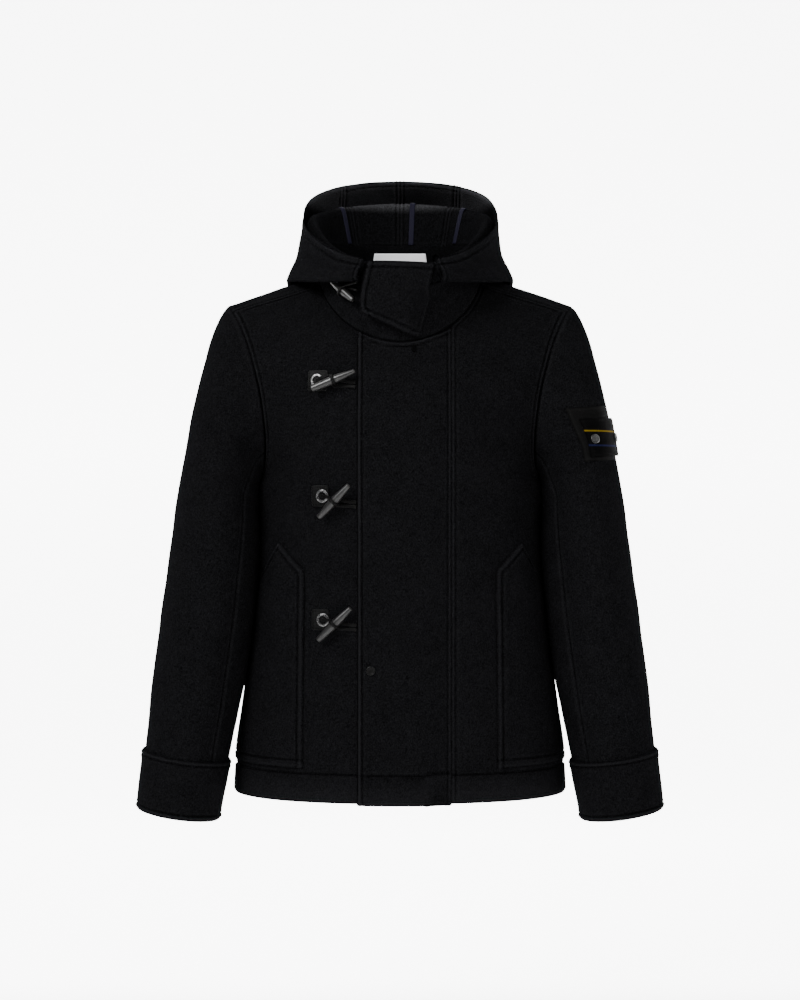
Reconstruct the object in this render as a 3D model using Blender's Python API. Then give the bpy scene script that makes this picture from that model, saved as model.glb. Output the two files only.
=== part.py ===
"""A hooded wool parka with toggles, filled out as if worn, with nobody in it.

Metres, +Z up. The front faces -Y, and +X is the side of the wearer's left arm. The origin is at
the middle of the neck, level with the shoulders, where a wearer's body holds the coat up.
"""

import math

import bpy
import numpy as np

# Driving sizes of the coat
WOOL = 0.003  # thickness of the wool cloth
SEAM = 0.0004  # gap between two pieces where they are sewn together
HEM_Z = -0.670
HEM_FOLD = 0.036  # height of the hem that is turned up
HEM_SWELL = 0.0016  # how far the doubled hem stands out
SIDE_Y = 0.004  # the side seams lie this far behind the neck's middle
LIFT = 0.0004  # gap under a piece that lies on another

# Colours of the finishes
BLACK_WOOL = (0.012, 0.012, 0.014)
BLACK_LEATHER = (0.010, 0.010, 0.011)
BLACK_HORN = (0.030, 0.030, 0.032)
DARK_METAL = (0.30, 0.30, 0.31)
WHITE_SATIN = (0.80, 0.80, 0.84)
BLACK_CANVAS = (0.011, 0.012, 0.011)

COAT = bpy.data.collections.new("hooded_wool_parka")
UP = np.array((0.0, 0.0, 1.0))
SLANT = np.array((0.37, 0.61, 0.70))  # walls that meet are split alike, by which end lies further this way


# ---------------------------------------------------------------- curves and tables


def between_rows(rows, key):
    """The values of a table at one key, on smooth curves through its rows. The first column is the key."""
    table = np.array(rows, float)
    keys, values = table[:, 0], table[:, 1:]
    steps = np.diff(keys)[:, None]
    slopes = np.diff(values, axis=0) / steps
    tangents = np.vstack([slopes[:1], np.zeros_like(slopes[1:]), slopes[-1:]])
    for k in range(1, len(keys) - 1):
        before, after = slopes[k - 1], slopes[k]
        same_way = before * after > 0
        total = np.where(same_way, before + after, 1.0)
        tangents[k] = np.where(same_way, 2 * before * after / total, 0.0)
    key = min(max(key, keys[0]), keys[-1])
    k = min(int(np.searchsorted(keys, key, side="right")) - 1, len(keys) - 2)
    t = (key - keys[k]) / steps[k, 0]
    run = steps[k, 0]
    return (
        (1 + 2 * t) * (1 - t) ** 2 * values[k]
        + t * (1 - t) ** 2 * run * tangents[k]
        + t * t * (3 - 2 * t) * values[k + 1]
        + t * t * (t - 1) * run * tangents[k + 1]
    )


def bezier(p0, p1, p2, p3, count):
    """Points along a cubic Bezier curve."""
    t = np.linspace(0, 1, count)[:, None]
    return (1 - t) ** 3 * p0 + 3 * t * (1 - t) ** 2 * p1 + 3 * t * t * (1 - t) * p2 + t**3 * p3


def lengths(points):
    """The length of a line of points up to each of them."""
    return np.concatenate([[0.0], np.cumsum(np.linalg.norm(np.diff(points, axis=0), axis=1))])


def at_length(points, where):
    """Points of a line at these lengths from its start."""
    run = lengths(points)
    return np.stack([np.interp(where, run, points[:, k]) for k in range(3)], axis=-1)


def spread(points, count, start=0.0):
    """Evenly spaced points of a line from one length of it to its end."""
    return at_length(points, np.linspace(start, lengths(points)[-1], count))


def ramp(value, low, high):
    """0 below low and 1 above high, with a soft slope between."""
    t = np.clip((value - low) / (high - low), 0, 1)
    return t * t * (3 - 2 * t)


def unit(vector):
    vector = np.asarray(vector, float)
    return vector / np.linalg.norm(vector, axis=-1, keepdims=True)


def mirrored(points, side):
    """Points for the wearer's left (+1) or right (-1) from points for the left."""
    return np.asarray(points, float) * (side, 1, 1)


# ---------------------------------------------------------------- the neckline and the armhole

NECK_HALF_WIDTH = 0.107
NECK_MIDDLE_Y = -0.012
NECK_FRONT, NECK_BACK = 0.095, 0.093  # from the neck's middle to its front and back
NECK_SIDE_Z = 0.012
NECK_DROP, NECK_RISE = 0.097, 0.010  # of its front and back, from its sides
NECK_SLOPE = 1.15


def neckline(angle):
    """The seam round the neck. The angle is 0 at the front and 180 at the back, in degrees."""
    turn = math.radians(angle)
    forward = math.cos(turn)
    reach = NECK_FRONT if forward > 0 else NECK_BACK
    rise = NECK_RISE * max(-forward, 0) - NECK_DROP * max(forward, 0) ** NECK_SLOPE
    return np.array(
        (NECK_HALF_WIDTH * math.sin(turn), NECK_MIDDLE_Y - reach * forward, NECK_SIDE_Z + rise)
    )


def neck_angle(z):
    """The angle at which the front of the neckline is at this height."""
    share = max((NECK_SIDE_Z - z) / NECK_DROP, 0)
    return math.degrees(math.acos(min(share ** (1 / NECK_SLOPE), 1)))


SLEEVE = (  # station, top x, top z, under x, under z, y, half depth in front, behind, pull to the chest
    (0.0, 0.2310, -0.029, 0.1860, -0.262, 0.003, 0.068, 0.076, 0.026),
    (1.0, 0.2410, -0.045, 0.1885, -0.268, 0.003, 0.071, 0.076, 0.019),
    (2.0, 0.2520, -0.075, 0.1885, -0.276, 0.000, 0.073, 0.076, 0.012),
    (3.0, 0.2620, -0.116, 0.1885, -0.288, -0.006, 0.074, 0.076, 0.006),
    (4.0, 0.2720, -0.160, 0.1885, -0.303, -0.012, 0.075, 0.075, 0.0),
    (5.0, 0.2810, -0.210, 0.1880, -0.325, -0.018, 0.074, 0.074, 0.0),
    (6.0, 0.2905, -0.268, 0.1885, -0.358, -0.022, 0.072, 0.072, 0.0),
    (7.0, 0.2995, -0.330, 0.1918, -0.400, -0.025, 0.070, 0.070, 0.0),
    (8.0, 0.3082, -0.395, 0.1970, -0.447, -0.027, 0.067, 0.067, 0.0),
    (9.0, 0.3165, -0.460, 0.2040, -0.500, -0.030, 0.064, 0.064, 0.0),
    (10.0, 0.3248, -0.528, 0.2120, -0.554, -0.035, 0.061, 0.061, 0.0),
    (11.0, 0.3305, -0.590, 0.2210, -0.607, -0.041, 0.058, 0.058, 0.0),
    (12.0, 0.3345, -0.634, 0.2290, -0.649, -0.046, 0.056, 0.056, 0.0),
    (13.0, 0.3380, -0.679, 0.2370, -0.694, -0.050, 0.054, 0.054, 0.0),
    (14.0, 0.3415, -0.724, 0.2410, -0.738, -0.053, 0.053, 0.053, 0.0),
)


def sleeve_point(station, angle, out=0.0):
    """A point of the sleeve's outer face, or a little way out from it. The angle is 0 along the top of the
    arm, 90 in front, 180 underneath and 270 behind. Station 0 is the armhole."""
    top_x, top_z, under_x, under_z, y, front, behind, pull = between_rows(SLEEVE, station)
    turn = math.radians(angle)
    middle = np.array(((top_x + under_x) / 2, y, (top_z + under_z) / 2))
    half = np.array(((top_x - under_x) / 2, 0, (top_z - under_z) / 2))
    half = half * (1 + out / np.linalg.norm(half))
    depth = (front if math.sin(turn) > 0 else behind) + out
    drawn = pull * abs(math.sin(turn)) ** 1.2
    return middle + math.cos(turn) * half - np.array((drawn, depth * math.sin(turn), 0))


def armhole(angle):
    return sleeve_point(0, angle)


def armhole_angle(z):
    """The angle at which the front of the armhole is at this height."""
    top, low = armhole(0)[2], armhole(180)[2]
    share = (2 * z - top - low) / (top - low)
    return math.degrees(math.acos(max(min(share, 1), -1)))


SHOULDER_ANGLE = 21.0  # where the shoulder seam meets the armhole, in front of its top
SHOULDER_NECK_ANGLE = 79.0  # where it meets the neckline
SHOULDER_TIP = armhole(SHOULDER_ANGLE)
SHOULDER_NECK = neckline(SHOULDER_NECK_ANGLE)
ARMPIT_Z = armhole(180)[2]
CHEST_ANGLES = (165, 149, 133, 117, 101, 85, 69)  # of the armhole, below the neckline's front
COLLAR_ANGLES = (12, 21, 30, 37.7, 45, neck_angle(SHOULDER_TIP[2]), 61, 70, SHOULDER_NECK_ANGLE)

# ---------------------------------------------------------------- the body's form

TORSO = (  # height, half width, depth of the front, depth of the back
    (-0.670, 0.2190, 0.122, 0.118),
    (-0.600, 0.2130, 0.121, 0.116),
    (-0.530, 0.2030, 0.119, 0.112),
    (-0.472, 0.1955, 0.118, 0.110),
    (-0.420, 0.1895, 0.119, 0.113),
    (-0.374, 0.1855, 0.121, 0.120),
    (-0.320, 0.1838, 0.125, 0.129),
    (-0.262, 0.1860, 0.129, 0.136),
    (-0.225, 0.1860, 0.130, 0.139),
    (-0.180, 0.1860, 0.127, 0.140),
    (-0.135, 0.1860, 0.121, 0.137),
    (-0.085, 0.1860, 0.107, 0.128),
    (-0.030, 0.1860, 0.092, 0.108),
    (0.022, 0.1860, 0.080, 0.081),
)
ARC = 0.60  # handles of the rounded rows below the armpit, as a share of their width and depth
CHEST_TURN = 3.6  # how fast the cloth turns to the front round the armhole
TIP_TURN = 72.0  # and its direction at the shoulder seam, in degrees from straight ahead
BODY_LEVELS = 11
BODY_COLUMNS = 10


def swell(z):
    """How far the hem's turned-up cloth stands out at this height."""
    return HEM_SWELL * (1 - ramp(z, HEM_Z + HEM_FOLD - 0.002, HEM_Z + HEM_FOLD + 0.001))


def body_levels():
    """Heights from the hem to the armpit, with close ones at the hem's stitches."""
    stitch = HEM_Z + HEM_FOLD
    return [HEM_Z, stitch - 0.012, stitch - 0.002, *np.linspace(stitch + 0.001, ARMPIT_Z, BODY_LEVELS - 3)]


def chest_levels():
    """Heights from above the armpit up to the last one under the shoulder seam's end at the neck."""
    return [armhole(a)[2] for a in CHEST_ANGLES] + [neckline(a)[2] for a in COLLAR_ANGLES[:-1]]


def round_row(z, back, count=61):
    """Points round half the front or the back at one height, from its centre to the side seam's line."""
    half_width, front_depth, back_depth = between_rows(TORSO, z) + swell(z)
    depth = back_depth if back else -front_depth
    start, end = np.array((0, depth, z)), np.array((half_width, SIDE_Y, z))
    first = start + np.array((half_width * ARC, 0, 0))
    second = end + np.array((0, (depth - SIDE_Y) * ARC, 0))
    return bezier(start, first, second, end, count)


def cut_row(row, start, end, count):
    """A rounded row cut off abreast of end, and eased to begin at start and stop at end."""
    way = 1 if row[-1, 1] > row[0, 1] else -1
    cut = np.interp(way * end[1], way * row[:, 1], lengths(row))
    line = at_length(row, np.linspace(0, cut, count))
    share = np.linspace(0, 1, count)[:, None]
    return line + (start - line[0]) * (1 - share) ** 2 + (end - line[-1]) * share**2


def front_row(z, count=61):
    """Points round the front at one height, from its centre or the neckline to the side seam, the armhole or
    the shoulder seam, for the wearer's left."""
    around = round_row(z, False, count)
    if z <= ARMPIT_Z:
        return around
    lean = 0.0
    if z <= neckline(0)[2]:
        start = around[0]
    else:
        start = neckline(neck_angle(z))
        lean = 20 * ramp(z, neckline(0)[2], SHOULDER_NECK[2])
    if z < SHOULDER_TIP[2]:
        end = armhole(armhole_angle(z))
    else:
        share = (z - SHOULDER_TIP[2]) / (SHOULDER_NECK[2] - SHOULDER_TIP[2])
        end = SHOULDER_TIP + (SHOULDER_NECK - SHOULDER_TIP) * share
    chord = np.linalg.norm(end - start)
    turn = math.degrees(math.atan(CHEST_TURN * max(SIDE_Y - end[1], 0) / end[0]))
    turn += (TIP_TURN - turn) * ramp(z, -0.16, SHOULDER_TIP[2])
    lean, turn = math.radians(lean), math.radians(turn)
    first = start + chord * 0.36 * np.array((math.cos(lean), math.sin(lean), 0))
    second = end - chord * 0.32 * np.array((math.sin(turn), math.cos(turn), 0))
    high = ramp(z, ARMPIT_Z + 0.02, ARMPIT_Z + 0.12)
    if high == 1:
        return bezier(start, first, second, end, count)
    free = bezier(start, first, second, end, count)
    return spread(free, count) * high + cut_row(around, start, end, count) * (1 - high)


def front_at_x(x, z):
    """The point of the front's outer face at this width and height. A negative x is the wearer's right."""
    row = front_row(z)
    return np.array((x, np.interp(abs(x), row[:, 0], row[:, 1]), z))


def front_out(x, z):
    """The outward direction of the front's face there."""
    step = 0.004
    across = front_at_x(x + step, z) - front_at_x(x - step, z)
    up = front_at_x(x, z + step) - front_at_x(x, z - step)
    return unit(np.cross(across, up))


def front_side_girth(z):
    return lengths(front_row(z))[-1]


def front_at_girth(girth, z, out=0.0):
    """A point of the front's face this far round from its centre, for the wearer's left."""
    step = 0.004
    here, after = at_length(front_row(z), [girth - step, girth + step])
    above = at_length(front_row(z + step), girth)
    below = at_length(front_row(z - step), girth)
    return at_length(front_row(z), girth) + out * unit(np.cross(after - here, above - below))


NAPE_SHARE = 0.60  # share of the rows over the armhole that lie below the neck
BACK_SHARES = (0.08, 0.16, 0.25, 0.34, 0.43, 0.52, 0.60, 0.65, 0.70, 0.75, 0.80, 0.85, 0.90, 0.95, 1.0)


def back_neck_angle(share):
    return 180 + (SHOULDER_NECK_ANGLE - 180) * (share - NAPE_SHARE) / (1 - NAPE_SHARE)


def back_arm_angle(share):
    return 180 + (180 + SHOULDER_ANGLE) * share


def back_row(share, count=61):
    """Points across the back, from its centre or the neckline to the armhole, for the wearer's left. The share
    is 0 at the armpit and 1 along the shoulder seam."""
    end = armhole(back_arm_angle(share))
    nape = neckline(180)
    z = ARMPIT_Z + (nape[2] - ARMPIT_Z) * share / NAPE_SHARE
    if share <= NAPE_SHARE:
        start = np.array((0, between_rows(TORSO, z)[2], z))
        start[1] += (nape[1] - between_rows(TORSO, nape[2])[2]) * ramp(share, 0, NAPE_SHARE)
    else:
        start = neckline(back_neck_angle(share))
    chord = end - start
    length = np.linalg.norm(chord)
    straight = chord / length
    upper = ramp(share, 0.25, 1)
    round_turn = math.atan(CHEST_TURN * max(end[1] - SIDE_Y, 0) / end[0])
    flat = np.array((math.sin(round_turn), -math.cos(round_turn), 0))
    leave = unit(np.array((1, 0, 0)) * (1 - upper) + straight * upper)
    arrive = unit(flat * (1 - upper) + straight * upper)
    first = start + leave * length * 0.36
    second = end - arrive * length * 0.31
    free = spread(bezier(start, first, second, end, count), count)
    high = ramp(share, 0.06, 0.38)
    if high == 1:
        return free
    return free * high + cut_row(round_row(z, True, count), start, end, count) * (1 - high)


# ---------------------------------------------------------------- making solids


def finish(name, colour, roughness, metallic=0.0):
    found = bpy.data.materials.get(name)
    if found:
        return found
    made = bpy.data.materials.new(name)
    made.use_nodes = True
    shader = made.node_tree.nodes["Principled BSDF"]
    shader.inputs["Base Color"].default_value = (*colour, 1)
    shader.inputs["Roughness"].default_value = roughness
    shader.inputs["Metallic"].default_value = metallic
    return made


def black_wool():
    return finish("black_wool", BLACK_WOOL, 0.95)


def black_leather():
    return finish("black_leather", BLACK_LEATHER, 0.55)


def black_horn():
    return finish("black_horn", BLACK_HORN, 0.30)


def dark_metal():
    return finish("dark_metal", DARK_METAL, 0.30, 1.0)


def white_satin():
    return finish("white_satin", WHITE_SATIN, 0.45)


def black_canvas():
    return finish("black_canvas", BLACK_CANVAS, 0.80)


def add_object(name, data, surface):
    made = bpy.data.objects.new(name, data)
    made.data.materials.append(surface)
    COAT.objects.link(made)
    return made


def add_mesh(name, points, faces, surface):
    data = bpy.data.meshes.new(name)
    data.from_pydata([tuple(p) for p in points], [], faces)
    data.shade_smooth()
    data.set_sharp_from_angle(angle=math.radians(40))
    return add_object(name, data, surface)


def grid_faces(rows, columns, closed=False):
    """Faces of a grid of points, row after row. A closed grid joins its last column to its first."""
    faces = []
    for r in range(rows - 1):
        for c in range(columns if closed else columns - 1):
            d = (c + 1) % columns
            faces.append((r * columns + c, r * columns + d, (r + 1) * columns + d, (r + 1) * columns + c))
    return faces


def halved(face, points):
    """A face of four points as two triangles, across its shorter diagonal."""
    if len(face) == 3:
        return [face]
    a, b, c, d = face
    if np.linalg.norm(points[a] - points[c]) < np.linalg.norm(points[b] - points[d]) + SEAM:
        return [(a, b, c), (a, c, d)]
    return [(a, b, d), (b, c, d)]


class Panel:
    """A piece of cloth, given by its outer face."""

    def __init__(self, name, points, faces, wall=WOOL, inside_out=False):
        self.name = name
        self.points = np.asarray(points, float)
        self.faces = [tuple(reversed(face)) for face in faces] if inside_out else list(faces)
        self.wall = wall
        self.normals = self.face_average()
        self.edges = self.open_edges()

    def face_average(self):
        normals = np.zeros_like(self.points)
        for face in self.faces:
            a, b, c, d = (self.points[face[k % len(face)]] for k in range(4))
            normal = np.cross(b - a, c - a) if len(face) == 3 else np.cross(c - a, d - b)
            for k in face:
                normals[k] += normal
        return unit(normals)

    def open_edges(self):
        """Edges with one face, as pairs of points in the face's order."""
        seen = {}
        for face in self.faces:
            for k, a in enumerate(face):
                b = face[(k + 1) % len(face)]
                seen[(a, b)] = True
        return [(a, b) for a, b in seen if (b, a) not in seen]

    def drawn_in(self, distance):
        """The points, with those of the open edges drawn in along the cloth."""
        moves = {}
        for a, b in self.edges:
            along = unit(self.points[b] - self.points[a])
            for k in (a, b):
                moves.setdefault(k, []).append(np.cross(self.normals[k], along))
        points = self.points.copy()
        for k, ways in moves.items():
            way = unit(np.sum(ways, axis=0))
            points[k] += way * distance / max(float(np.dot(way, unit(ways[0]))), 0.3)
        return points

    def build(self, outward, points, surface):
        count = len(points)
        inner = points - outward * self.wall
        halves = [half for face in self.faces for half in halved(face, self.points)]
        faces = halves + [tuple(count + k for k in reversed(half)) for half in halves]
        for a, b in self.edges:
            if np.dot(np.abs(self.points[a]) - np.abs(self.points[b]), SLANT) > 0:
                faces += [(b, a, count + b), (a, count + a, count + b)]
            else:
                faces += [(b, a, count + a), (b, count + a, count + b)]
        return add_mesh(self.name, np.concatenate([points, inner]), faces, surface)


def outward_near(panel, place):
    """The outward direction of a panel's open edge at this place, or none if the edge isn't there."""
    starts, ends = (panel.points[list(side)] for side in zip(*panel.edges))
    along = ends - starts
    share = np.sum((place - starts) * along, axis=1) / np.sum(along * along, axis=1)
    share = np.clip(share, 0, 1)[:, None]
    apart = np.linalg.norm(starts + share * along - place, axis=1)
    nearest = int(np.argmin(apart))
    if apart[nearest] > SEAM:
        return None
    a, b = panel.edges[nearest]
    return panel.normals[a] * (1 - share[nearest]) + panel.normals[b] * share[nearest]


def sew(panels, surface):
    """Build panels whose edges meet, a seam's gap apart, with walls that meet alike."""
    for panel in panels:
        outward = panel.normals.copy()
        for k in {k for edge in panel.edges for k in edge}:
            place = panel.points[k]
            others = [outward_near(other, place) for other in panels if other is not panel]
            outward[k] = unit(np.sum([outward[k]] + [n for n in others if n is not None], axis=0))
        panel.build(outward, panel.drawn_in(SEAM / 2), surface)


def grid_panel(name, grid, side=1, closed=False, wall=WOOL, flip=False):
    """A panel from rows of points whose faces look outward on the wearer's left."""
    grid = mirrored(grid, side)
    rows, columns = grid.shape[:2]
    faces = grid_faces(rows, columns, closed)
    return Panel(name, grid.reshape(-1, 3), faces, wall, inside_out=(side < 0) != flip)


# ---------------------------------------------------------------- body and sleeves

PLACKET_SEAM = neckline(37.7)[0]  # the seam that joins the placket to the left front
UNDERLAP = 0.026  # the right front runs on this far under the placket


def front_panel(name, side, inner_x):
    """One front. Its inner edge is inner_x from the centre towards its own side, or at the neckline."""
    levels = body_levels() + chest_levels()
    if inner_x < 0:
        levels = [z for z in levels if not neckline(0)[2] - 0.004 < z < neckline(14)[2]]
    grid = []
    for z in levels:
        row = front_row(z)
        inner = max(inner_x, row[0, 0])
        if inner_x < 0 and z < neckline(0)[2]:
            row = np.concatenate([(row * (-1, 1, 1))[20:0:-1], row])
            inner = inner_x
        first = np.interp(inner, row[:, 0], lengths(row))
        grid.append(spread(row, BODY_COLUMNS, first))
    grid = np.array(grid)
    rows = len(grid)
    faces = grid_faces(rows, BODY_COLUMNS)
    apex = rows * BODY_COLUMNS
    last = (rows - 1) * BODY_COLUMNS
    faces += [(last + c, last + c + 1, apex) for c in range(BODY_COLUMNS - 1)]
    points = np.concatenate([grid.reshape(-1, 3), [SHOULDER_NECK]])
    return Panel(name, mirrored(points, side), faces, inside_out=side < 0)


def back_panel():
    """The back in one piece, up to the neckline and over the shoulders to the seams in front of them."""
    rows = [spread(round_row(z, True), BODY_COLUMNS) for z in body_levels()]
    rows += [spread(back_row(share), BODY_COLUMNS) for share in BACK_SHARES]
    half = np.array(rows)
    joined = len(body_levels()) + BACK_SHARES.index(NAPE_SHARE) + 1
    columns = BODY_COLUMNS
    left = half.reshape(-1, 3)
    right = left * (-1, 1, 1)
    count = len(left)
    centre = {count + r * columns: r * columns for r in range(joined)}
    faces = []
    for face in grid_faces(len(half), columns):
        faces.append(tuple(reversed(face)))
        faces.append(tuple(centre.get(count + k, count + k) for k in face))
    points = np.concatenate([left, right])
    kept = [k for k in range(len(points)) if k not in centre]
    new = {old: k for k, old in enumerate(kept)}
    return Panel("back", points[kept], [tuple(new[k] for k in face) for face in faces])


SLEEVE_STATIONS = (0, 0.5, 1, 2, 3, 4, 5, 6, 7, 8, 9, 10, 11, 12, 12.95)
FRONT_ARM_SEAM, BACK_ARM_SEAM = 133.0, 252.36  # where the two pieces of a sleeve meet


def arm_angles():
    """Angles round the armhole where the fronts and the back have a point, from the top, in order."""
    front = [*CHEST_ANGLES, 180.0]
    front += [armhole_angle(neckline(a)[2]) for a in COLLAR_ANGLES[:5]]
    back = [back_arm_angle(share) for share in BACK_SHARES[:-1]]
    return sorted([SHOULDER_ANGLE, *front, *back])


def sleeve_panels(side, word):
    angles = arm_angles()
    behind = min(angles, key=lambda a: abs(a - BACK_ARM_SEAM))
    under = [a for a in angles if FRONT_ARM_SEAM <= a <= behind]
    outer = [a for a in angles if a >= behind]
    outer += [a + 360 for a in angles if a <= FRONT_ARM_SEAM]
    made = []
    for name, these in (("sleeve_outer", outer), ("sleeve_under", under)):
        grid = [[sleeve_point(station, a) for a in these] for station in SLEEVE_STATIONS]
        made.append(grid_panel(f"{name}_{word}", grid, side))
    return made


CUFF_TOP, CUFF_END = 11.42, 13.12  # stations of the sleeve that the turned-back cuff covers
CUFF_WALL = 0.0034
CUFF_STEP = 0.0008  # the doubled edges of the cuff stand out by this


def cuff_panel(side, word):
    angles = arm_angles()
    stations = [CUFF_TOP, CUFF_TOP + 0.21, CUFF_TOP + 0.24, 12.2, CUFF_END - 0.13, CUFF_END - 0.10, CUFF_END]
    steps = [CUFF_STEP, CUFF_STEP, 0, 0, 0, CUFF_STEP, CUFF_STEP]
    out = CUFF_WALL + LIFT
    grid = [[sleeve_point(s, a, out + step) for a in angles] for s, step in zip(stations, steps)]
    return grid_panel(f"cuff_{word}", grid, side, closed=True, wall=CUFF_WALL)


# ---------------------------------------------------------------- what lies on the body

POCKET_WALL = 0.0026
POCKET_INNER = 0.126  # girth of its inner edge
POCKET = (  # height, girth of the inner edge, share of the way from there to its outer edge, bulge
    (-0.628, POCKET_INNER, 1.0, 0.0),
    (-0.617, POCKET_INNER, 1.0, 0.0),
    (-0.560, POCKET_INNER, 1.0, 0.0015),
    (-0.500, POCKET_INNER, 1.0, 0.0030),
    (-0.450, POCKET_INNER, 1.0, 0.0040),
    (-0.412, POCKET_INNER, 1.0, 0.0055),
    (-0.392, POCKET_INNER, 0.83, 0.0050),
    (-0.376, POCKET_INNER, 0.66, 0.0040),
    (-0.358, 0.1465, 0.42, 0.0025),
    (-0.342, 0.1655, 0.10, 0.0),
)
POCKET_COLUMNS = 11
POCKET_EASE = 0.0005  # more room under the pocket, where the front turns to the side
SIDE_MARGIN = 0.005  # left between a pocket and the side seam


def pocket_panel(side, word):
    grid = []
    for z, inner, share, bulge in POCKET:
        outer = inner + (front_side_girth(z) - SIDE_MARGIN - inner) * share
        row = []
        for t in np.linspace(0, 1, POCKET_COLUMNS):
            girth = inner + (outer - inner) * t
            out = POCKET_WALL + LIFT + POCKET_EASE + bulge * math.sin(math.pi * t**0.8) ** 2
            row.append(front_at_girth(girth, z, out))
        grid.append(row)
    return grid_panel(f"pocket_{word}", grid, side, wall=POCKET_WALL)


PLACKET_EDGE = -0.054
PLACKET_END_Z = -0.672
PLACKET_DROP = 0.0035  # its top edge lies this far under the neckline
PLACKET_LIFT = WOOL + LIFT + 0.0002
PLACKET_COLUMNS = (PLACKET_EDGE, -0.047, -0.030, -0.010, 0.010, 0.028, 0.045, PLACKET_SEAM)


def placket_lift(x):
    """How far the placket's outer face stands out from the front's."""
    return PLACKET_LIFT * (1 - ramp(x, UNDERLAP + 0.004, PLACKET_SEAM - 0.002))


def neck_height(x):
    """Height of the neckline at this distance from the centre front."""
    return neckline(math.degrees(math.asin(min(abs(x) / NECK_HALF_WIDTH, 1))))[2]


def on_front(x, z, out):
    return front_at_x(x, z) + front_out(x, min(z, neck_height(x) - 0.0045)) * out


def placket_panel():
    seam_levels = [z for z in body_levels() + chest_levels() if z <= neckline(37.7)[2] + 1e-9]
    grid = []
    last = len(seam_levels) - 1
    for k, z in enumerate(seam_levels):
        row = []
        for x in PLACKET_COLUMNS:
            rise = (k / last) ** 6
            height = z + (neck_height(x) - PLACKET_DROP - seam_levels[-1]) * rise
            height += (PLACKET_END_Z - HEM_Z) * (k == 0) * (x < UNDERLAP)
            if x == PLACKET_SEAM:
                row.append(front_at_x(x, z))
            else:
                row.append(on_front(x, height, placket_lift(x)))
        grid.append(row)
    return grid_panel("placket", grid)


# ---------------------------------------------------------------- the collar and the hood

# Loops round the neck, one above or outside another along the cloth, from the seam that joins the hood to the
# neckband, over the fold at the nape, down inside, under, and up outside to the hood's edge.
HOOD = (  # loop, half width, front y, back y, front z, side z, back z
    (0, 0.098, -0.108, 0.074, -0.018, 0.052, 0.062),
    (1, 0.113, -0.112, 0.073, 0.006, 0.088, 0.118),
    (2, 0.121, -0.117, 0.092, 0.007, 0.079, 0.110),
    (3, 0.128, -0.121, 0.128, 0.001, 0.050, 0.035),
    (4, 0.138, -0.124, 0.152, -0.006, 0.016, -0.052),
    (5, 0.147, -0.130, 0.176, -0.012, 0.004, -0.088),
    (6, 0.153, -0.137, 0.208, -0.006, 0.010, -0.072),
    (7, 0.149, -0.139, 0.228, 0.001, 0.024, -0.012),
    (8, 0.139, -0.137, 0.218, 0.006, 0.045, 0.058),
    (9, 0.133, -0.133, 0.172, 0.010, 0.068, 0.124),
    (10, 0.129, -0.127, 0.104, 0.014, 0.085, 0.157),
)
HOOD_ROWS = (0, 0.5, 1, 1.4, 2, 3, 4, 4.6, 5.3, 6, 7, 8, 9, 10)
HOOD_START = 21  # angle from the front where the hood begins, on both sides
HOOD_SEAM = back_neck_angle(0.75)  # angle of the seams beside its centre seam
BAND_START = 12  # angle from the front where the neckband begins, on both sides


def hood_point(loop, angle, out=0.0):
    """A point of the hood's outer face. The angle goes round as on the neckline."""
    half_width, front_y, back_y, front_z, side_z, back_z = between_rows(HOOD, loop)
    turn = math.radians(angle)
    forward = math.cos(turn)
    y = (front_y + back_y) / 2 - forward * (back_y - front_y) / 2
    fullness = 1.3 - 0.6 * ramp(loop, 6, 9)
    rise = (front_z - side_z) * max(forward, 0) ** NECK_SLOPE + (back_z - side_z) * max(-forward, 0) ** fullness
    return np.array(((half_width + out) * math.sin(turn), y, side_z + rise))


def neck_angles(start, end):
    """Angles round the neck where the fronts and the back have a point, up to 360 and from start to end."""
    half = list(COLLAR_ANGLES) + [back_neck_angle(share) for share in BACK_SHARES if NAPE_SHARE <= share < 1]
    every = sorted({round(a, 6) for a in half} | {round(360 - a, 6) for a in half})
    return [a for a in every if start - 1e-6 <= a <= end + 1e-6]


def neckband_point(share, angle):
    """A point of the neckband's outer face, from the neckline at 0 to the hood's seam at 1."""
    low, high = neckline(angle), hood_point(0, angle)
    return low + (high - low) * share + unit(low * (1, 1, 0)) * 0.004 * math.sin(math.pi * share) * (1 - share)


def neckband_panel():
    angles = neck_angles(BAND_START, 360 - BAND_START)
    return grid_panel("neckband", [[neckband_point(s, a) for a in angles] for s in (0, 0.33, 0.67, 1)])


def hood_panels():
    ends = (HOOD_START, HOOD_SEAM, 180, 360 - HOOD_SEAM, 360 - HOOD_START)
    names = ("hood_side_left", "hood_back_left", "hood_back_right", "hood_side_right")
    made = []
    for name, start, end in zip(names, ends, ends[1:]):
        angles = neck_angles(start, end)
        made.append(grid_panel(name, [[hood_point(row, a) for a in angles] for row in HOOD_ROWS]))
    return made


# The flap that closes the throat, row by row from its top. It is sewn to the neckband on the wearer's left.
FLAP = (  # row, x at its sewn edge, z there, x at its free edge, z there
    (0, 0.0440, 0.0125, -0.0410, 0.0140),
    (1, 0.0390, -0.0090, -0.0450, -0.0030),
    (2, 0.0330, -0.0300, -0.0490, -0.0200),
    (3, 0.0275, -0.0500, -0.0510, -0.0350),
    (4, 0.0230, -0.0670, -0.0505, -0.0450),
    (5, 0.0185, -0.0800, -0.0465, -0.0515),
)
FLAP_FRONT = -0.141  # y of its most forward line at the top
FLAP_BOW = 4.5
FLAP_SLOPE = 0.022  # its foot lies this far back


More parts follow.
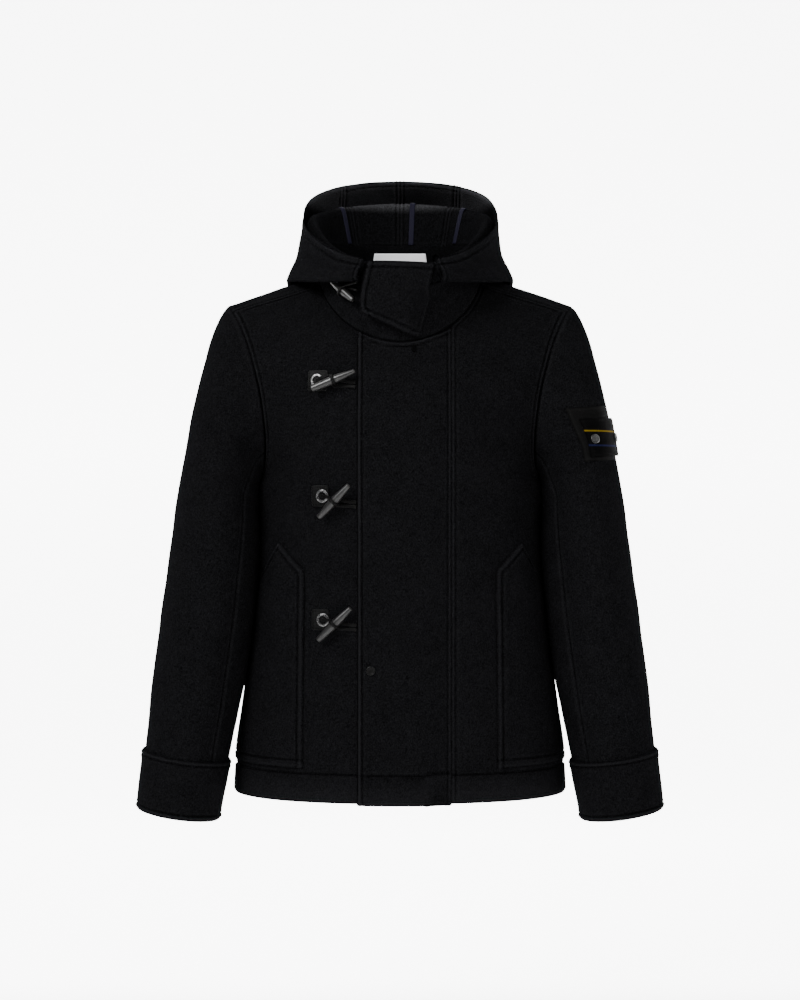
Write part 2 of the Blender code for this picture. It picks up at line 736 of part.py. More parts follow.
def flap_point(row, share):
    sewn_x, sewn_z, free_x, free_z = between_rows(FLAP, row)
    x, z = sewn_x + (free_x - sewn_x) * share, sewn_z + (free_z - sewn_z) * share
    y = FLAP_FRONT + FLAP_BOW * (x + 0.008) ** 2 + FLAP_SLOPE * ramp(-z, 0.0, 0.09)
    low = ramp(row, 1.2, 2.2)
    tuck = low * (1 - share / 0.12) if share < 0.12 else 0.0
    return np.array((x + 0.006 * tuck, y + (-0.1085 - y) * tuck, z))


def flap_panel():
    shares = (0, 0.06, 0.12, 0.24, 0.38, 0.52, 0.66, 0.80, 0.92, 1)
    grid = [[flap_point(row, s) for s in shares] for row in (0, 0.6, 1.2, 2, 3, 4, 4.6, 5)]
    return grid_panel("throat_flap", grid)


# ---------------------------------------------------------------- fastenings and trims


def turned(name, profile, centre, axis, surface, segments=18):
    """A round piece from (radius, height) pairs along an axis. A closed profile makes a ring."""
    axis = unit(axis)
    side = unit(np.cross(axis, UP if abs(axis[2]) < 0.9 else (1, 0, 0)))
    other = np.cross(axis, side)
    closed = profile[0][0] > 0
    points, rings = [], []
    for radius, height in profile:
        if radius == 0:
            rings.append([len(points)] * segments)
            points.append(centre + axis * height)
            continue
        rings.append([len(points) + k for k in range(segments)])
        for k in range(segments):
            turn = 2 * math.pi * k / segments
            way = side * math.cos(turn) + other * math.sin(turn)
            points.append(centre + way * radius + axis * height)
    faces = []
    for low, high in zip(rings, rings[1:] + rings[:1] if closed else rings[1:]):
        for k in range(segments):
            n = (k + 1) % segments
            face = (low[k], low[n], high[n], high[k])
            faces.append(tuple(dict.fromkeys(face)))
    return add_mesh(name, points, faces, surface)


def swept(name, path, outward, wide, thick, surface, sides=6):
    """A flat cord along a path. Its flat side faces outward."""
    path = np.asarray(path, float)
    ahead = unit(np.gradient(path, axis=0))
    points = []
    for place, way, out in zip(path, ahead, outward):
        across = unit(np.cross(out, way))
        up = np.cross(way, across)
        for k in range(sides):
            turn = 2 * math.pi * (k + 0.5) / sides
            points.append(place + across * wide / 2 * math.cos(turn) + up * thick / 2 * math.sin(turn))
    faces = grid_faces(len(path), sides, closed=True)
    last = (len(path) - 1) * sides
    faces += [tuple(reversed(range(sides))), tuple(last + k for k in range(sides))]
    return add_mesh(name, points, faces, surface)


def smooth_path(points, count):
    """A smooth line through a few points."""
    table = [(k, *p) for k, p in enumerate(points)]
    return np.array([between_rows(table, key) for key in np.linspace(0, len(points) - 1, count)])


class Spot:
    """A place on the coat with its own right, up and outward directions."""

    def __init__(self, place, outward):
        self.place = np.asarray(place, float)
        self.out = unit(outward)
        self.right = unit(np.cross(UP, self.out))
        self.up = np.cross(self.out, self.right)

    def at(self, right, up, out):
        return self.place + self.right * right + self.up * up + self.out * out


def plate(name, spot, width, height, corner, thick, lift, surface, tilt=0.0):
    """A flat plate with rounded corners and a softened face."""
    outline = []
    for cx, cy, start in ((1, 1, 0), (-1, 1, 90), (-1, -1, 180), (1, -1, 270)):
        for step in (0, 30, 60, 90):
            turn = math.radians(start + step)
            outline.append((cx * (width / 2 - corner) + corner * math.cos(turn),
                            cy * (height / 2 - corner) + corner * math.sin(turn)))
    lean = math.radians(tilt)
    points = []
    for shrink, out in ((0, lift), (0, lift + thick * 0.7), (0.0006, lift + thick)):
        for x, y in outline:
            x, y = x - math.copysign(shrink, x), y - math.copysign(shrink, y)
            right = x * math.cos(lean) - y * math.sin(lean)
            points.append(spot.at(right, x * math.sin(lean) + y * math.cos(lean), out))
    count = len(outline)
    faces = grid_faces(3, count, closed=True)
    faces += [tuple(reversed(range(count))), tuple(2 * count + k for k in range(count))]
    return add_mesh(name, points, faces, surface)


PATCH_HIGH, PATCH_THICK, PATCH_LIFT = 0.027, 0.0014, 0.0006
CORD_WIDE, CORD_THICK = 0.0044, 0.0018
WAIST = 0.0058  # half thickness of a toggle at its waist
TOGGLE_RISE = 0.0104  # height of a toggle's middle over the front
CORD_TURN = WAIST + CORD_THICK / 2 + 0.0006  # the cord goes round the waist at this distance
# Middle x and z, length, lean from level in degrees, radius at the low and the high end, then the eyelet's
# place to the right of and above the middle, and the leather patch's middle and width.
TOGGLES = (
    (-0.0816, -0.1355, 0.060, 21.8, 0.0048, 0.0026, -0.0241, 0.0012, -0.0233, 0.0270),
    (-0.0806, -0.2870, 0.058, 45.0, 0.0037, 0.0031, -0.0175, 0.0062, -0.0210, 0.0240),
    (-0.0806, -0.4430, 0.060, 44.1, 0.0037, 0.0031, -0.0170, 0.0045, -0.0210, 0.0240),
)


def toggle_profile(length, low, high):
    """Radii of a toggle along its length, with flat-cut ends."""
    half = length / 2
    soft = 0.0008
    profile = [(0.0, -half), (low - soft, -half), (low, -half + soft)]
    for share in (-0.7, -0.4, -0.15, 0.15, 0.4, 0.7):
        end = low if share < 0 else high
        profile.append((WAIST + (end - WAIST) * abs(share) ** 1.3, share * half))
    return profile + [(high, half - soft), (high - soft, half), (0.0, half)]


def round_waist(middle, across, outward, start, end, count):
    """Points round a toggle's waist, by angles from the way across it towards the outward one."""
    turns = np.radians(np.linspace(start, end, count))[:, None]
    return middle + CORD_TURN * (np.cos(turns) * across + np.sin(turns) * outward)


def over_front(spot, right, up, rise):
    """A point that lies a little way off the front's face, to the right of and above a place on it."""
    x, z = spot.at(right, up, 0)[[0, 2]]
    return front_at_x(x, z) + front_out(x, z) * rise


# The cord's two strands from the placket's edge, and its turn under the toggle, to the right and up from there
PLACKET_LOOP = (
    (0.0262, -0.0020),
    (0.0160, -0.0010),
    (0.0060, 0.0008),
    (-0.0012, 0.0012),
    (-0.0034, -0.0024),
    (-0.0012, -0.0060),
    (0.0060, -0.0062),
    (0.0160, -0.0066),
    (0.0262, -0.0076),
)


def toggle_set(number, x, z, length, lean, low, high, eyelet_right, eyelet_up, patch_right, patch_wide):
    lean = math.radians(lean)
    spot = Spot(front_at_x(x, z), front_out(x, z))
    along = spot.right * math.cos(lean) + spot.up * math.sin(lean)
    across = spot.right * math.sin(lean) - spot.up * math.cos(lean)
    middle = spot.at(0, 0, TOGGLE_RISE)
    turned(f"toggle_{number}", toggle_profile(length, low, high), middle, along, black_horn(), 12)

    patch_x, patch_z = spot.at(patch_right, eyelet_up, 0)[[0, 2]]
    base = Spot(front_at_x(patch_x, patch_z), front_out(patch_x, patch_z))
    patch = (patch_wide, PATCH_HIGH, 0.004, PATCH_THICK, PATCH_LIFT)
    plate(f"toggle_patch_{number}", base, *patch, black_leather())
    seat = PATCH_LIFT + PATCH_THICK + SEAM
    ring = [(0.0052, 0.0), (0.0082, 0.0), (0.0085, 0.0006), (0.0070, 0.0014), (0.0055, 0.0010)]
    ring = [(radius, seat + height) for radius, height in ring]
    eyelet = base.at(eyelet_right - patch_right, 0, 0)
    turned(f"eyelet_{number}", ring, eyelet, base.out, dark_metal(), 16)

    start = eyelet + base.out * (seat + CORD_THICK / 2 + 0.0002)
    turn = round_waist(middle, across, spot.out, 165, -40, 6)
    rise = start + (turn[0] - start) * 0.35 + spot.out * 0.0014
    path = smooth_path([start, rise, *turn], 13)
    outward = [spot.out, spot.out, *unit(turn - middle)]
    table = [(k, *way) for k, way in enumerate(outward)]
    ways = [unit(between_rows(table, key)) for key in np.linspace(0, len(outward) - 1, 13)]
    swept(f"eyelet_cord_{number}", path, ways, CORD_WIDE, CORD_THICK, black_leather())

    rise = CORD_THICK / 2 + LIFT
    path = smooth_path([over_front(spot, right, up, rise) for right, up in PLACKET_LOOP], 17)
    swept(f"placket_cord_{number}", path, [spot.out] * 17, CORD_WIDE, CORD_THICK, black_leather())


NECK_TOGGLE = ((-0.0870, -0.0810, -0.0060), (-0.0595, -0.1070, -0.0320))  # its upper and lower end
NECK_CORD_ENDS = ((-0.0545, -0.1230, -0.0113), (-0.0545, -0.1200, -0.0213))  # at the throat flap's edge


def neck_toggle():
    upper, lower = (np.array(end) for end in NECK_TOGGLE)
    middle = (upper + lower) / 2
    along = unit(lower - upper)
    length = np.linalg.norm(lower - upper)
    turned("toggle_neck", toggle_profile(length, 0.0034, 0.0034), middle, along, black_horn(), 12)
    outward = unit(np.cross(along, UP))
    outward = outward if outward[1] < 0 else -outward
    across = np.cross(along, outward)
    across = across if across[0] > 0 else -across
    turn = round_waist(middle, across, outward, 40, 320, 8)
    ends = [np.array(end) for end in NECK_CORD_ENDS]
    stops = [ends[0], *turn, ends[1]]
    ways = [unit(turn[0] - middle), *unit(turn - middle), unit(turn[-1] - middle)]
    table = [(k, *way) for k, way in enumerate(ways)]
    path = smooth_path(stops, 20)
    outs = [unit(between_rows(table, key)) for key in np.linspace(0, len(ways) - 1, 20)]
    swept("neck_cord", path, outs, CORD_WIDE * 0.8, CORD_THICK, black_leather())


SNAP_X, SNAP_Z = -0.0367, -0.502


def snap():
    out = front_out(SNAP_X, SNAP_Z)
    place = front_at_x(SNAP_X, SNAP_Z) + out * placket_lift(SNAP_X)
    cap = ((0, 0.0004), (0.0072, 0.0004), (0.0075, 0.0010), (0.0072, 0.0020), (0.0064, 0.0023))
    cap += ((0.0050, 0.0018), (0.0, 0.0016))
    turned("snap", cap, place, out, dark_metal(), 20)


TAB_BUTTONS = ((-0.2085, 66.0), (-0.2050, 21.0))  # height and angle round the sleeve
TAB_BASE = (-0.168, -0.237, 84.0, 25.0)  # top and bottom, angles of its front and back edge
TAB = (-0.183, -0.232, 75.0, 12.0)
TAB_LEAN = 0.004  # its back edge lies this far over its front edge
TAB_BASE_SEAT, TAB_BASE_WALL = 0.0007, 0.0015
TAB_SEAT, TAB_WALL = 0.0027, 0.0018


def spot_on(surface, row, column, row_step, column_step):
    """A place on one of the coat's faces, found from its function of a row and a column."""
    across = surface(row, column + column_step) - surface(row, column - column_step)
    up = surface(row + row_step, column) - surface(row - row_step, column)
    return Spot(surface(row, column), np.cross(across, up))


def sleeve_spot(z, angle):
    """A place on the sleeve at this height and angle."""
    stations = np.linspace(1, 12, 111)
    heights = [sleeve_point(station, angle)[2] for station in stations]
    station = np.interp(-z, -np.array(heights), stations)
    return spot_on(sleeve_point, station, angle, 0.05, 1.0)


def sleeve_patch(name, area, seat, wall, rows, columns):
    """A piece lying on the left sleeve, over these heights and angles."""
    top, bottom, front, back = area
    grid = []
    for z in np.linspace(bottom, top, rows):
        shares = np.linspace(0, 1, columns)
        spots = [sleeve_spot(z + TAB_LEAN * s, front + (back - front) * s) for s in shares]
        grid.append([spot.at(0, 0, seat + wall) for spot in spots])
    return grid_panel(name, grid, wall=wall)


def arm_button(number, z, angle):
    spot = sleeve_spot(z, angle)
    seat = TAB_SEAT + TAB_WALL + SEAM
    face = ((0, seat), (0.0058, seat), (0.0062, seat + 0.0008), (0.0058, seat + 0.0018))
    face += ((0.0040, seat + 0.0014), (0, seat + 0.0014))
    turned(f"arm_button_{number}", face, spot.place, spot.out, black_horn(), 16)


LABEL_WALL = 0.0006


def label_panel():
    grid = []
    for share in (0.40, 0.58, 0.76):
        spots = [spot_on(neckband_point, share, angle, 0.1, 3.0) for angle in np.linspace(201, 159, 9)]
        grid.append([spot.at(0, 0, -WOOL - 0.0008 - LABEL_WALL) for spot in spots])
    return grid_panel("neck_label", grid, wall=LABEL_WALL)


HANGER_ANGLES = (146, 154)  # where the ends of the hanger loop are sewn in


def hanger_loop():
    ends = [spot_on(neckband_point, 0.62, angle, 0.1, 3.0) for angle in HANGER_ANGLES]
    seat = -WOOL - 0.0016
    low = [end.at(0, -0.006, seat) for end in ends]
    high = [end.at(0, 0.003, seat - 0.001) for end in ends]
    path = smooth_path([low[0], high[0], (high[0] + high[1]) / 2 + UP * 0.004, high[1], low[1]], 13)
    swept("hanger_loop", path, [-ends[0].out] * 13, 0.0040, 0.0012, black_wool())


def bar_tack():
    x, z = 0.0176, -0.0955
    spot = Spot(front_at_x(x, z) + front_out(x, z) * placket_lift(x), front_out(x, z))
    plate("bar_tack", spot, 0.0065, 0.0110, 0.0026, 0.0020, 0.0004, black_leather())


def main():
    for old in list(bpy.data.objects):
        bpy.data.objects.remove(old)
    bpy.context.scene.collection.children.link(COAT)

    panels = [back_panel(), placket_panel(), neckband_panel(), *hood_panels(), flap_panel()]
    panels += [front_panel("front_left", 1, PLACKET_SEAM), front_panel("front_right", -1, -UNDERLAP)]
    for side, word in ((1, "left"), (-1, "right")):
        panels += sleeve_panels(side, word)
        panels += [cuff_panel(side, word), pocket_panel(side, word)]
    sew(panels, black_wool())
    sew([label_panel()], white_satin())
    hanger_loop()
    bar_tack()

    for number, toggle in enumerate(TOGGLES, 1):
        toggle_set(number, *toggle)
    neck_toggle()
    snap()

    sew([sleeve_patch("arm_tab_base", TAB_BASE, TAB_BASE_SEAT, TAB_BASE_WALL, 6, 11)], black_canvas())
    sew([sleeve_patch("arm_tab", TAB, TAB_SEAT, TAB_WALL, 6, 11)], black_canvas())
    for number, place in enumerate(TAB_BUTTONS, 1):
        arm_button(number, *place)


main()
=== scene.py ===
# %% [markdown]
# # A hooded wool parka with toggles
# The coat hangs in the air as if somebody wore it, with nobody in it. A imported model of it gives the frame: where
# every piece is, in metres, with +Z up and the front facing -Y. This lesson gives the coat its looks: heavy milled
# wool with a short nap, sewn edges, rows of stitches, leather, horn and blackened metal.

import functools
import math

import bpy
import numpy as np
from mathutils.bvhtree import BVHTree
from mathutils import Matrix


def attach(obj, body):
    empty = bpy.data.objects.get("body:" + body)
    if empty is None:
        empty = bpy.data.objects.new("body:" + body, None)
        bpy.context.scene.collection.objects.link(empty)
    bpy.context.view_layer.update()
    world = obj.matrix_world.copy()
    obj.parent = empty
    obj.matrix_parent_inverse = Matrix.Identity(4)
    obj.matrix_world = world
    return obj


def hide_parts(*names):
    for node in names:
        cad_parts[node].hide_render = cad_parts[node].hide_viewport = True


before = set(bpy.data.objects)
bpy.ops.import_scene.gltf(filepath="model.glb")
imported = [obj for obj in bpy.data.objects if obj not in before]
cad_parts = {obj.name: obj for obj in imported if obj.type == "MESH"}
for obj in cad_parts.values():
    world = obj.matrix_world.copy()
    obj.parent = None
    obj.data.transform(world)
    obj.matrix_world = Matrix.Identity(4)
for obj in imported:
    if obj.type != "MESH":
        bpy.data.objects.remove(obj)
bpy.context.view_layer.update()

# %% [markdown]
# ## Camera and light
# The photograph is a straight front view from far away. A long lens at 2.4 m gives the same small perspective: the
# frame is 1.33 m high where the middle of the coat is. Large soft lights from the front and both sides make the nap
# of the wool readable, which a small light would not.

# %% Camera and light
VIEW_DISTANCE, VIEW_HEIGHT = 2.4, -0.286
VIEW_SPAN = 1.330  # height of the picture where the coat's middle is
SENSOR, ROOM_LIGHT = 36, 0.3
LIGHTS = (  # name, place, what it points at, width and height, watts
    ("key_light", (-1.7, -1.9, 1.45), (0, 0, -0.35), (1.2, 1.2), 130),
    ("fill_light", (1.7, -2.4, 0.5), (0, 0, -0.3), (1.6, 2.0), 62),
    ("top_light", (0.0, -0.3, 2.3), (0, 0, -0.2), (2.2, 1.6), 14),
    ("left_rim", (-2.2, 0.9, 0.2), (0, 0, -0.3), (0.8, 2.2), 10),
    ("right_rim", (2.2, 0.9, 0.2), (0, 0, -0.3), (0.8, 2.2), 10),
)


def placed(name, data):
    """A new object in the scene."""
    made = bpy.data.objects.new(name, data)
    bpy.context.scene.collection.objects.link(made)
    return made


eye = bpy.data.cameras.new("studio_camera")
eye.sensor_fit, eye.sensor_height = "VERTICAL", SENSOR
eye.lens = SENSOR * VIEW_DISTANCE / VIEW_SPAN
camera = placed("studio_camera", eye)
camera.location = (0, -VIEW_DISTANCE, VIEW_HEIGHT)
camera.rotation_euler = (math.pi / 2, 0, 0)
bpy.context.scene.camera = camera

for name, place, target, size, power in LIGHTS:
    lamp = bpy.data.lights.new(name, "AREA")
    lamp.shape, lamp.energy = "RECTANGLE", power
    lamp.size, lamp.size_y = size
    light, way = placed(name, lamp), np.subtract(target, place)
    light.location = place
    light.rotation_euler = (math.acos(-way[2] / np.linalg.norm(way)), 0, math.atan2(-way[0], way[1]))

world = bpy.data.worlds.new("white_room")
bpy.context.scene.world = world
world.use_nodes = True
background = world.node_tree.nodes["Background"].inputs
background["Color"].default_value, background["Strength"].default_value = (1, 1, 1, 1), ROOM_LIGHT
print("camera", tuple(camera.location), "lens", round(eye.lens, 1))


# %% [markdown]
# ## The coat's own form
# Everything on the coat lies on a few smooth faces: the body, the sleeves, the collar and the hood. Each could be
# sculpted by hand, but then a pocket or a row of stitches would have to be fitted by eye. Here each face is a
# function of two numbers, read from short tables of real measurements, so whatever is sewn on can ask for its place.

# %% Helpers for curves and tables
UP = np.array((0.0, 0.0, 1.0))
ROW_POINTS = 61  # of every line across the coat, before a panel takes its own from it


def between_rows(rows, key):
    """The values of a table at one key, on smooth curves through its rows. The first column is the key."""
    table = np.array(rows, float)
    keys, values = table[:, 0], table[:, 1:]
    steps = np.diff(keys)[:, None]
    slopes = np.diff(values, axis=0) / steps
    before, after = slopes[:-1], slopes[1:]
    same_way = before * after > 0
    inner = np.where(same_way, 2 * before * after / np.where(same_way, before + after, 1.0), 0.0)
    tangents = np.vstack([slopes[:1], inner, slopes[-1:]])
    key = min(max(key, keys[0]), keys[-1])
    k = min(int(np.searchsorted(keys, key, side="right")) - 1, len(keys) - 2)
    run = steps[k, 0]
    t = (key - keys[k]) / run
    return (
        (1 + 2 * t) * (1 - t) ** 2 * values[k]
        + t * (1 - t) ** 2 * run * tangents[k]
        + t * t * (3 - 2 * t) * values[k + 1]
        + t * t * (t - 1) * run * tangents[k + 1]
    )


def bezier(p0, p1, p2, p3):
    """Points along a cubic Bezier curve."""
    t = np.linspace(0, 1, ROW_POINTS)[:, None]
    return (1 - t) ** 3 * p0 + 3 * t * (1 - t) ** 2 * p1 + 3 * t * t * (1 - t) * p2 + t**3 * p3


def lengths(points):
    """The length of a line of points up to each of them."""
    return np.concatenate([[0.0], np.cumsum(np.linalg.norm(np.diff(points, axis=0), axis=1))])


def at_length(points, where):
    """Points of a line at these lengths from its start."""
    run = lengths(points)
    return np.stack([np.interp(where, run, points[:, k]) for k in range(3)], axis=-1)


def spread(points):
    """The same number of points along a line, but evenly spaced."""
    return at_length(points, np.linspace(0, lengths(points)[-1], len(points)))


def ramp(value, low, high):
    """0 below low and 1 above high, with a soft slope between."""
    t = np.clip((value - low) / (high - low), 0, 1)
    return t * t * (3 - 2 * t)


def unit(vector):
    vector = np.asarray(vector, float)
    return vector / np.linalg.norm(vector, axis=-1, keepdims=True)


def mirrored(points, side):
    """Points for the wearer's left (+1) or right (-1) from points for the left."""
    return np.asarray(points, float) * (side, 1, 1)


print("half way between two rows:", between_rows(((0, 0.0), (1, 2.0)), 0.5))

# %% The neckline, the sleeves and the armhole
NECK_HALF_WIDTH, NECK_MIDDLE_Y = 0.107, -0.012
NECK_FRONT, NECK_BACK = 0.095, 0.093  # from the neck's middle to its front and back
NECK_SIDE_Z = 0.012
NECK_DROP, NECK_RISE = 0.097, 0.010  # of its front and back, from its sides
NECK_SLOPE = 1.15


def neckline(angle):
    """The seam round the neck. The angle is 0 at the front and 180 at the back, in degrees."""
    turn = math.radians(angle)
    forward = math.cos(turn)
    reach = NECK_FRONT if forward > 0 else NECK_BACK
    rise = NECK_RISE * max(-forward, 0) - NECK_DROP * max(forward, 0) ** NECK_SLOPE
    return np.array((NECK_HALF_WIDTH * math.sin(turn), NECK_MIDDLE_Y - reach * forward, NECK_SIDE_Z + rise))


def neck_angle(z):
    """The angle at which the front of the neckline is at this height."""
    share = max((NECK_SIDE_Z - z) / NECK_DROP, 0)
    return math.degrees(math.acos(min(share ** (1 / NECK_SLOPE), 1)))


SLEEVE = (  # station, top x, top z, under x, under z, y, half depth in front, behind, pull to the chest
    (0.0, 0.2310, -0.029, 0.1860, -0.262, 0.003, 0.068, 0.076, 0.026),
    (1.0, 0.2410, -0.045, 0.1885, -0.268, 0.003, 0.071, 0.076, 0.019),
    (2.0, 0.2520, -0.075, 0.1885, -0.276, 0.000, 0.073, 0.076, 0.012),
    (3.0, 0.2620, -0.116, 0.1885, -0.288, -0.006, 0.074, 0.076, 0.006),
    (4.0, 0.2720, -0.160, 0.1885, -0.303, -0.012, 0.075, 0.075, 0.0),
    (5.0, 0.2810, -0.210, 0.1880, -0.325, -0.018, 0.074, 0.074, 0.0),
    (6.0, 0.2905, -0.268, 0.1885, -0.358, -0.022, 0.072, 0.072, 0.0),
    (7.0, 0.2995, -0.330, 0.1918, -0.400, -0.025, 0.070, 0.070, 0.0),
    (8.0, 0.3082, -0.395, 0.1970, -0.447, -0.027, 0.067, 0.067, 0.0),
    (9.0, 0.3165, -0.460, 0.2040, -0.500, -0.030, 0.064, 0.064, 0.0),
    (10.0, 0.3248, -0.528, 0.2120, -0.554, -0.035, 0.061, 0.061, 0.0),
    (11.0, 0.3305, -0.590, 0.2210, -0.607, -0.041, 0.058, 0.058, 0.0),
    (12.0, 0.3345, -0.634, 0.2290, -0.649, -0.046, 0.056, 0.056, 0.0),
    (13.0, 0.3380, -0.679, 0.2370, -0.694, -0.050, 0.054, 0.054, 0.0),
    (14.0, 0.3415, -0.724, 0.2410, -0.738, -0.053, 0.053, 0.053, 0.0),
)


def sleeve_point(station, angle, out=0.0):
    """A point of the sleeve's outer face, or a little way out from it. The angle is 0 along the top of the
    arm, 90 in front, 180 underneath and 270 behind. Station 0 is the armhole."""
    top_x, top_z, under_x, under_z, y, front, behind, pull = between_rows(SLEEVE, station)
    turn = np.radians(angle)[..., None]
    middle = np.array(((top_x + under_x) / 2, y, (top_z + under_z) / 2))
    half = np.array(((top_x - under_x) / 2, 0, (top_z - under_z) / 2))
    half = half * (1 + out / np.linalg.norm(half))
    depth = np.where(np.sin(turn) > 0, front, behind) + out
    drawn = pull * np.abs(np.sin(turn)) ** 1.2
    return middle + np.cos(turn) * half - np.concatenate([drawn, depth * np.sin(turn), drawn * 0], axis=-1)


def armhole(angle):
    return sleeve_point(0, angle)


def armhole_angle(z):
    """The angle at which the front of the armhole is at this height."""
    top, low = armhole(0)[2], armhole(180)[2]
    share = (2 * z - top - low) / (top - low)
    return math.degrees(math.acos(max(min(share, 1), -1)))


SHOULDER_ANGLE = 21.0  # where the shoulder seam meets the armhole, in front of its top
SHOULDER_NECK_ANGLE = 79.0  # where it meets the neckline
SHOULDER_TIP = armhole(SHOULDER_ANGLE)
SHOULDER_NECK = neckline(SHOULDER_NECK_ANGLE)
ARMPIT_Z = armhole(180)[2]
print("armpit at height", round(float(ARMPIT_Z), 3), "shoulder tip", np.round(SHOULDER_TIP, 3))

# %% The body, front and back
HEM_Z = -0.670
HEM_FOLD = 0.036  # height of the hem that is turned up
HEM_SWELL = 0.0016  # how far the doubled hem stands out
SIDE_Y = 0.004  # the side seams lie this far behind the neck's middle
TORSO = (  # height, half width, depth of the front, depth of the back
    (-0.670, 0.2190, 0.122, 0.118),
    (-0.600, 0.2130, 0.121, 0.116),
    (-0.530, 0.2030, 0.119, 0.112),
    (-0.472, 0.1955, 0.118, 0.110),
    (-0.420, 0.1895, 0.119, 0.113),
    (-0.374, 0.1855, 0.121, 0.120),
    (-0.320, 0.1838, 0.125, 0.129),
    (-0.262, 0.1860, 0.129, 0.136),
    (-0.225, 0.1860, 0.130, 0.139),
    (-0.180, 0.1860, 0.127, 0.140),
    (-0.135, 0.1860, 0.121, 0.137),
    (-0.085, 0.1860, 0.107, 0.128),
    (-0.030, 0.1860, 0.092, 0.108),
    (0.022, 0.1860, 0.080, 0.081),
)
NAPE_SHARE = 0.60  # share of the back's rows over the armhole that lie below the neck
ARC = 0.60  # handles of the rounded rows below the armpit, as a share of their width and depth
FRONT_HANDLES, BACK_HANDLES = (0.36, 0.32), (0.36, 0.31)  # of the rows above it, as shares of their chord
NECK_LEAN = 20  # how far a row turns back where it leaves the neckline at the shoulder, in degrees
FRONT_BLEND, BACK_BLEND = (0.02, 0.12), (0.06, 0.38)  # where round rows give way to flatter ones over the armpit
CHEST_TURN = 3.6  # how fast the cloth turns to the front round the armhole
TIP_TURN = 72.0  # and its direction at the shoulder seam, in degrees from straight ahead


def swell(z):
    """How far the hem's turned-up cloth stands out at this height."""
    return HEM_SWELL * (1 - ramp(z, HEM_Z + HEM_FOLD - 0.002, HEM_Z + HEM_FOLD + 0.001))


def round_row(z, back):
    """Points round half the front or the back at one height, from its centre to the side seam's line."""
    half_width, front_depth, back_depth = between_rows(TORSO, z) + swell(z)
    depth = back_depth if back else -front_depth
    start, end = np.array((0, depth, z)), np.array((half_width, SIDE_Y, z))
    first = start + np.array((half_width * ARC, 0, 0))
    second = end + np.array((0, (depth - SIDE_Y) * ARC, 0))
    return bezier(start, first, second, end)


def cut_row(row, start, end):
    """A rounded row cut off abreast of end, and eased to begin at start and stop at end."""
    way = 1 if row[-1, 1] > row[0, 1] else -1
    cut = np.interp(way * end[1], way * row[:, 1], lengths(row))
    line = at_length(row, np.linspace(0, cut, ROW_POINTS))
    share = np.linspace(0, 1, ROW_POINTS)[:, None]
    return line + (start - line[0]) * (1 - share) ** 2 + (end - line[-1]) * share**2


@functools.lru_cache(maxsize=None)
def front_row(z):
    """Points round the front at one height, from its centre or the neckline to the side seam, the armhole or
    the shoulder seam, for the wearer's left."""
    around = round_row(z, False)
    if z <= ARMPIT_Z:
        return around
    lean = 0.0
    if z <= neckline(0)[2]:
        start = around[0]
    else:
        start = neckline(neck_angle(z))
        lean = NECK_LEAN * ramp(z, neckline(0)[2], SHOULDER_NECK[2])
    if z < SHOULDER_TIP[2]:
        end = armhole(armhole_angle(z))
    else:
        share = (z - SHOULDER_TIP[2]) / (SHOULDER_NECK[2] - SHOULDER_TIP[2])
        end = SHOULDER_TIP + (SHOULDER_NECK - SHOULDER_TIP) * share
    chord = np.linalg.norm(end - start)
    turn = math.degrees(math.atan(CHEST_TURN * max(SIDE_Y - end[1], 0) / end[0]))
    turn += (TIP_TURN - turn) * ramp(z, -0.16, SHOULDER_TIP[2])
    lean, turn = math.radians(lean), math.radians(turn)
    first = start + chord * FRONT_HANDLES[0] * np.array((math.cos(lean), math.sin(lean), 0))
    second = end - chord * FRONT_HANDLES[1] * np.array((math.sin(turn), math.cos(turn), 0))
    free = bezier(start, first, second, end)
    high = ramp(z - ARMPIT_Z, *FRONT_BLEND)
    if high == 1:
        return free
    return spread(free) * high + cut_row(around, start, end) * (1 - high)


def front_at_x(x, z):
    """The point of the front's outer face at this width and height. A negative x is the wearer's right."""
    row = front_row(z)
    return np.array((x, np.interp(abs(x), row[:, 0], row[:, 1]), z))


def front_out(x, z):
    """The outward direction of the front's face there."""
    step = 0.004
    across = front_at_x(x + step, z) - front_at_x(x - step, z)
    up = front_at_x(x, z + step) - front_at_x(x, z - step)
    return unit(np.cross(across, up))


def back_neck_angle(share):
    """The angle at which a row of the back leaves the neckline."""
    return 180 + (SHOULDER_NECK_ANGLE - 180) * (share - NAPE_SHARE) / (1 - NAPE_SHARE)


def back_arm_angle(share):
    """The angle at which it meets the armhole."""
    return 180 + (180 + SHOULDER_ANGLE) * share


def back_row(share):
    """Points across the back, from its centre or the neckline to the armhole, for the wearer's left. The share
    is 0 at the armpit and 1 along the shoulder seam."""
    end = armhole(back_arm_angle(share))
    nape = neckline(180)
    z = ARMPIT_Z + (nape[2] - ARMPIT_Z) * share / NAPE_SHARE
    if share <= NAPE_SHARE:
        start = np.array((0, between_rows(TORSO, z)[2], z))
        start[1] += (nape[1] - between_rows(TORSO, nape[2])[2]) * ramp(share, 0, NAPE_SHARE)
    else:
        start = neckline(back_neck_angle(share))
    chord = end - start
    length = np.linalg.norm(chord)
    straight = chord / length
    upper = ramp(share, 0.25, 1)
    round_turn = math.atan(CHEST_TURN * max(end[1] - SIDE_Y, 0) / end[0])
    flat = np.array((math.sin(round_turn), -math.cos(round_turn), 0))
    leave = unit(np.array((1, 0, 0)) * (1 - upper) + straight * upper)
    arrive = unit(flat * (1 - upper) + straight * upper)
    first = start + leave * length * BACK_HANDLES[0]
    second = end - arrive * length * BACK_HANDLES[1]
    free = spread(bezier(start, first, second, end))
    high = ramp(share, *BACK_BLEND)
    if high == 1:
        return free
    return free * high + cut_row(round_row(z, True), start, end) * (1 - high)


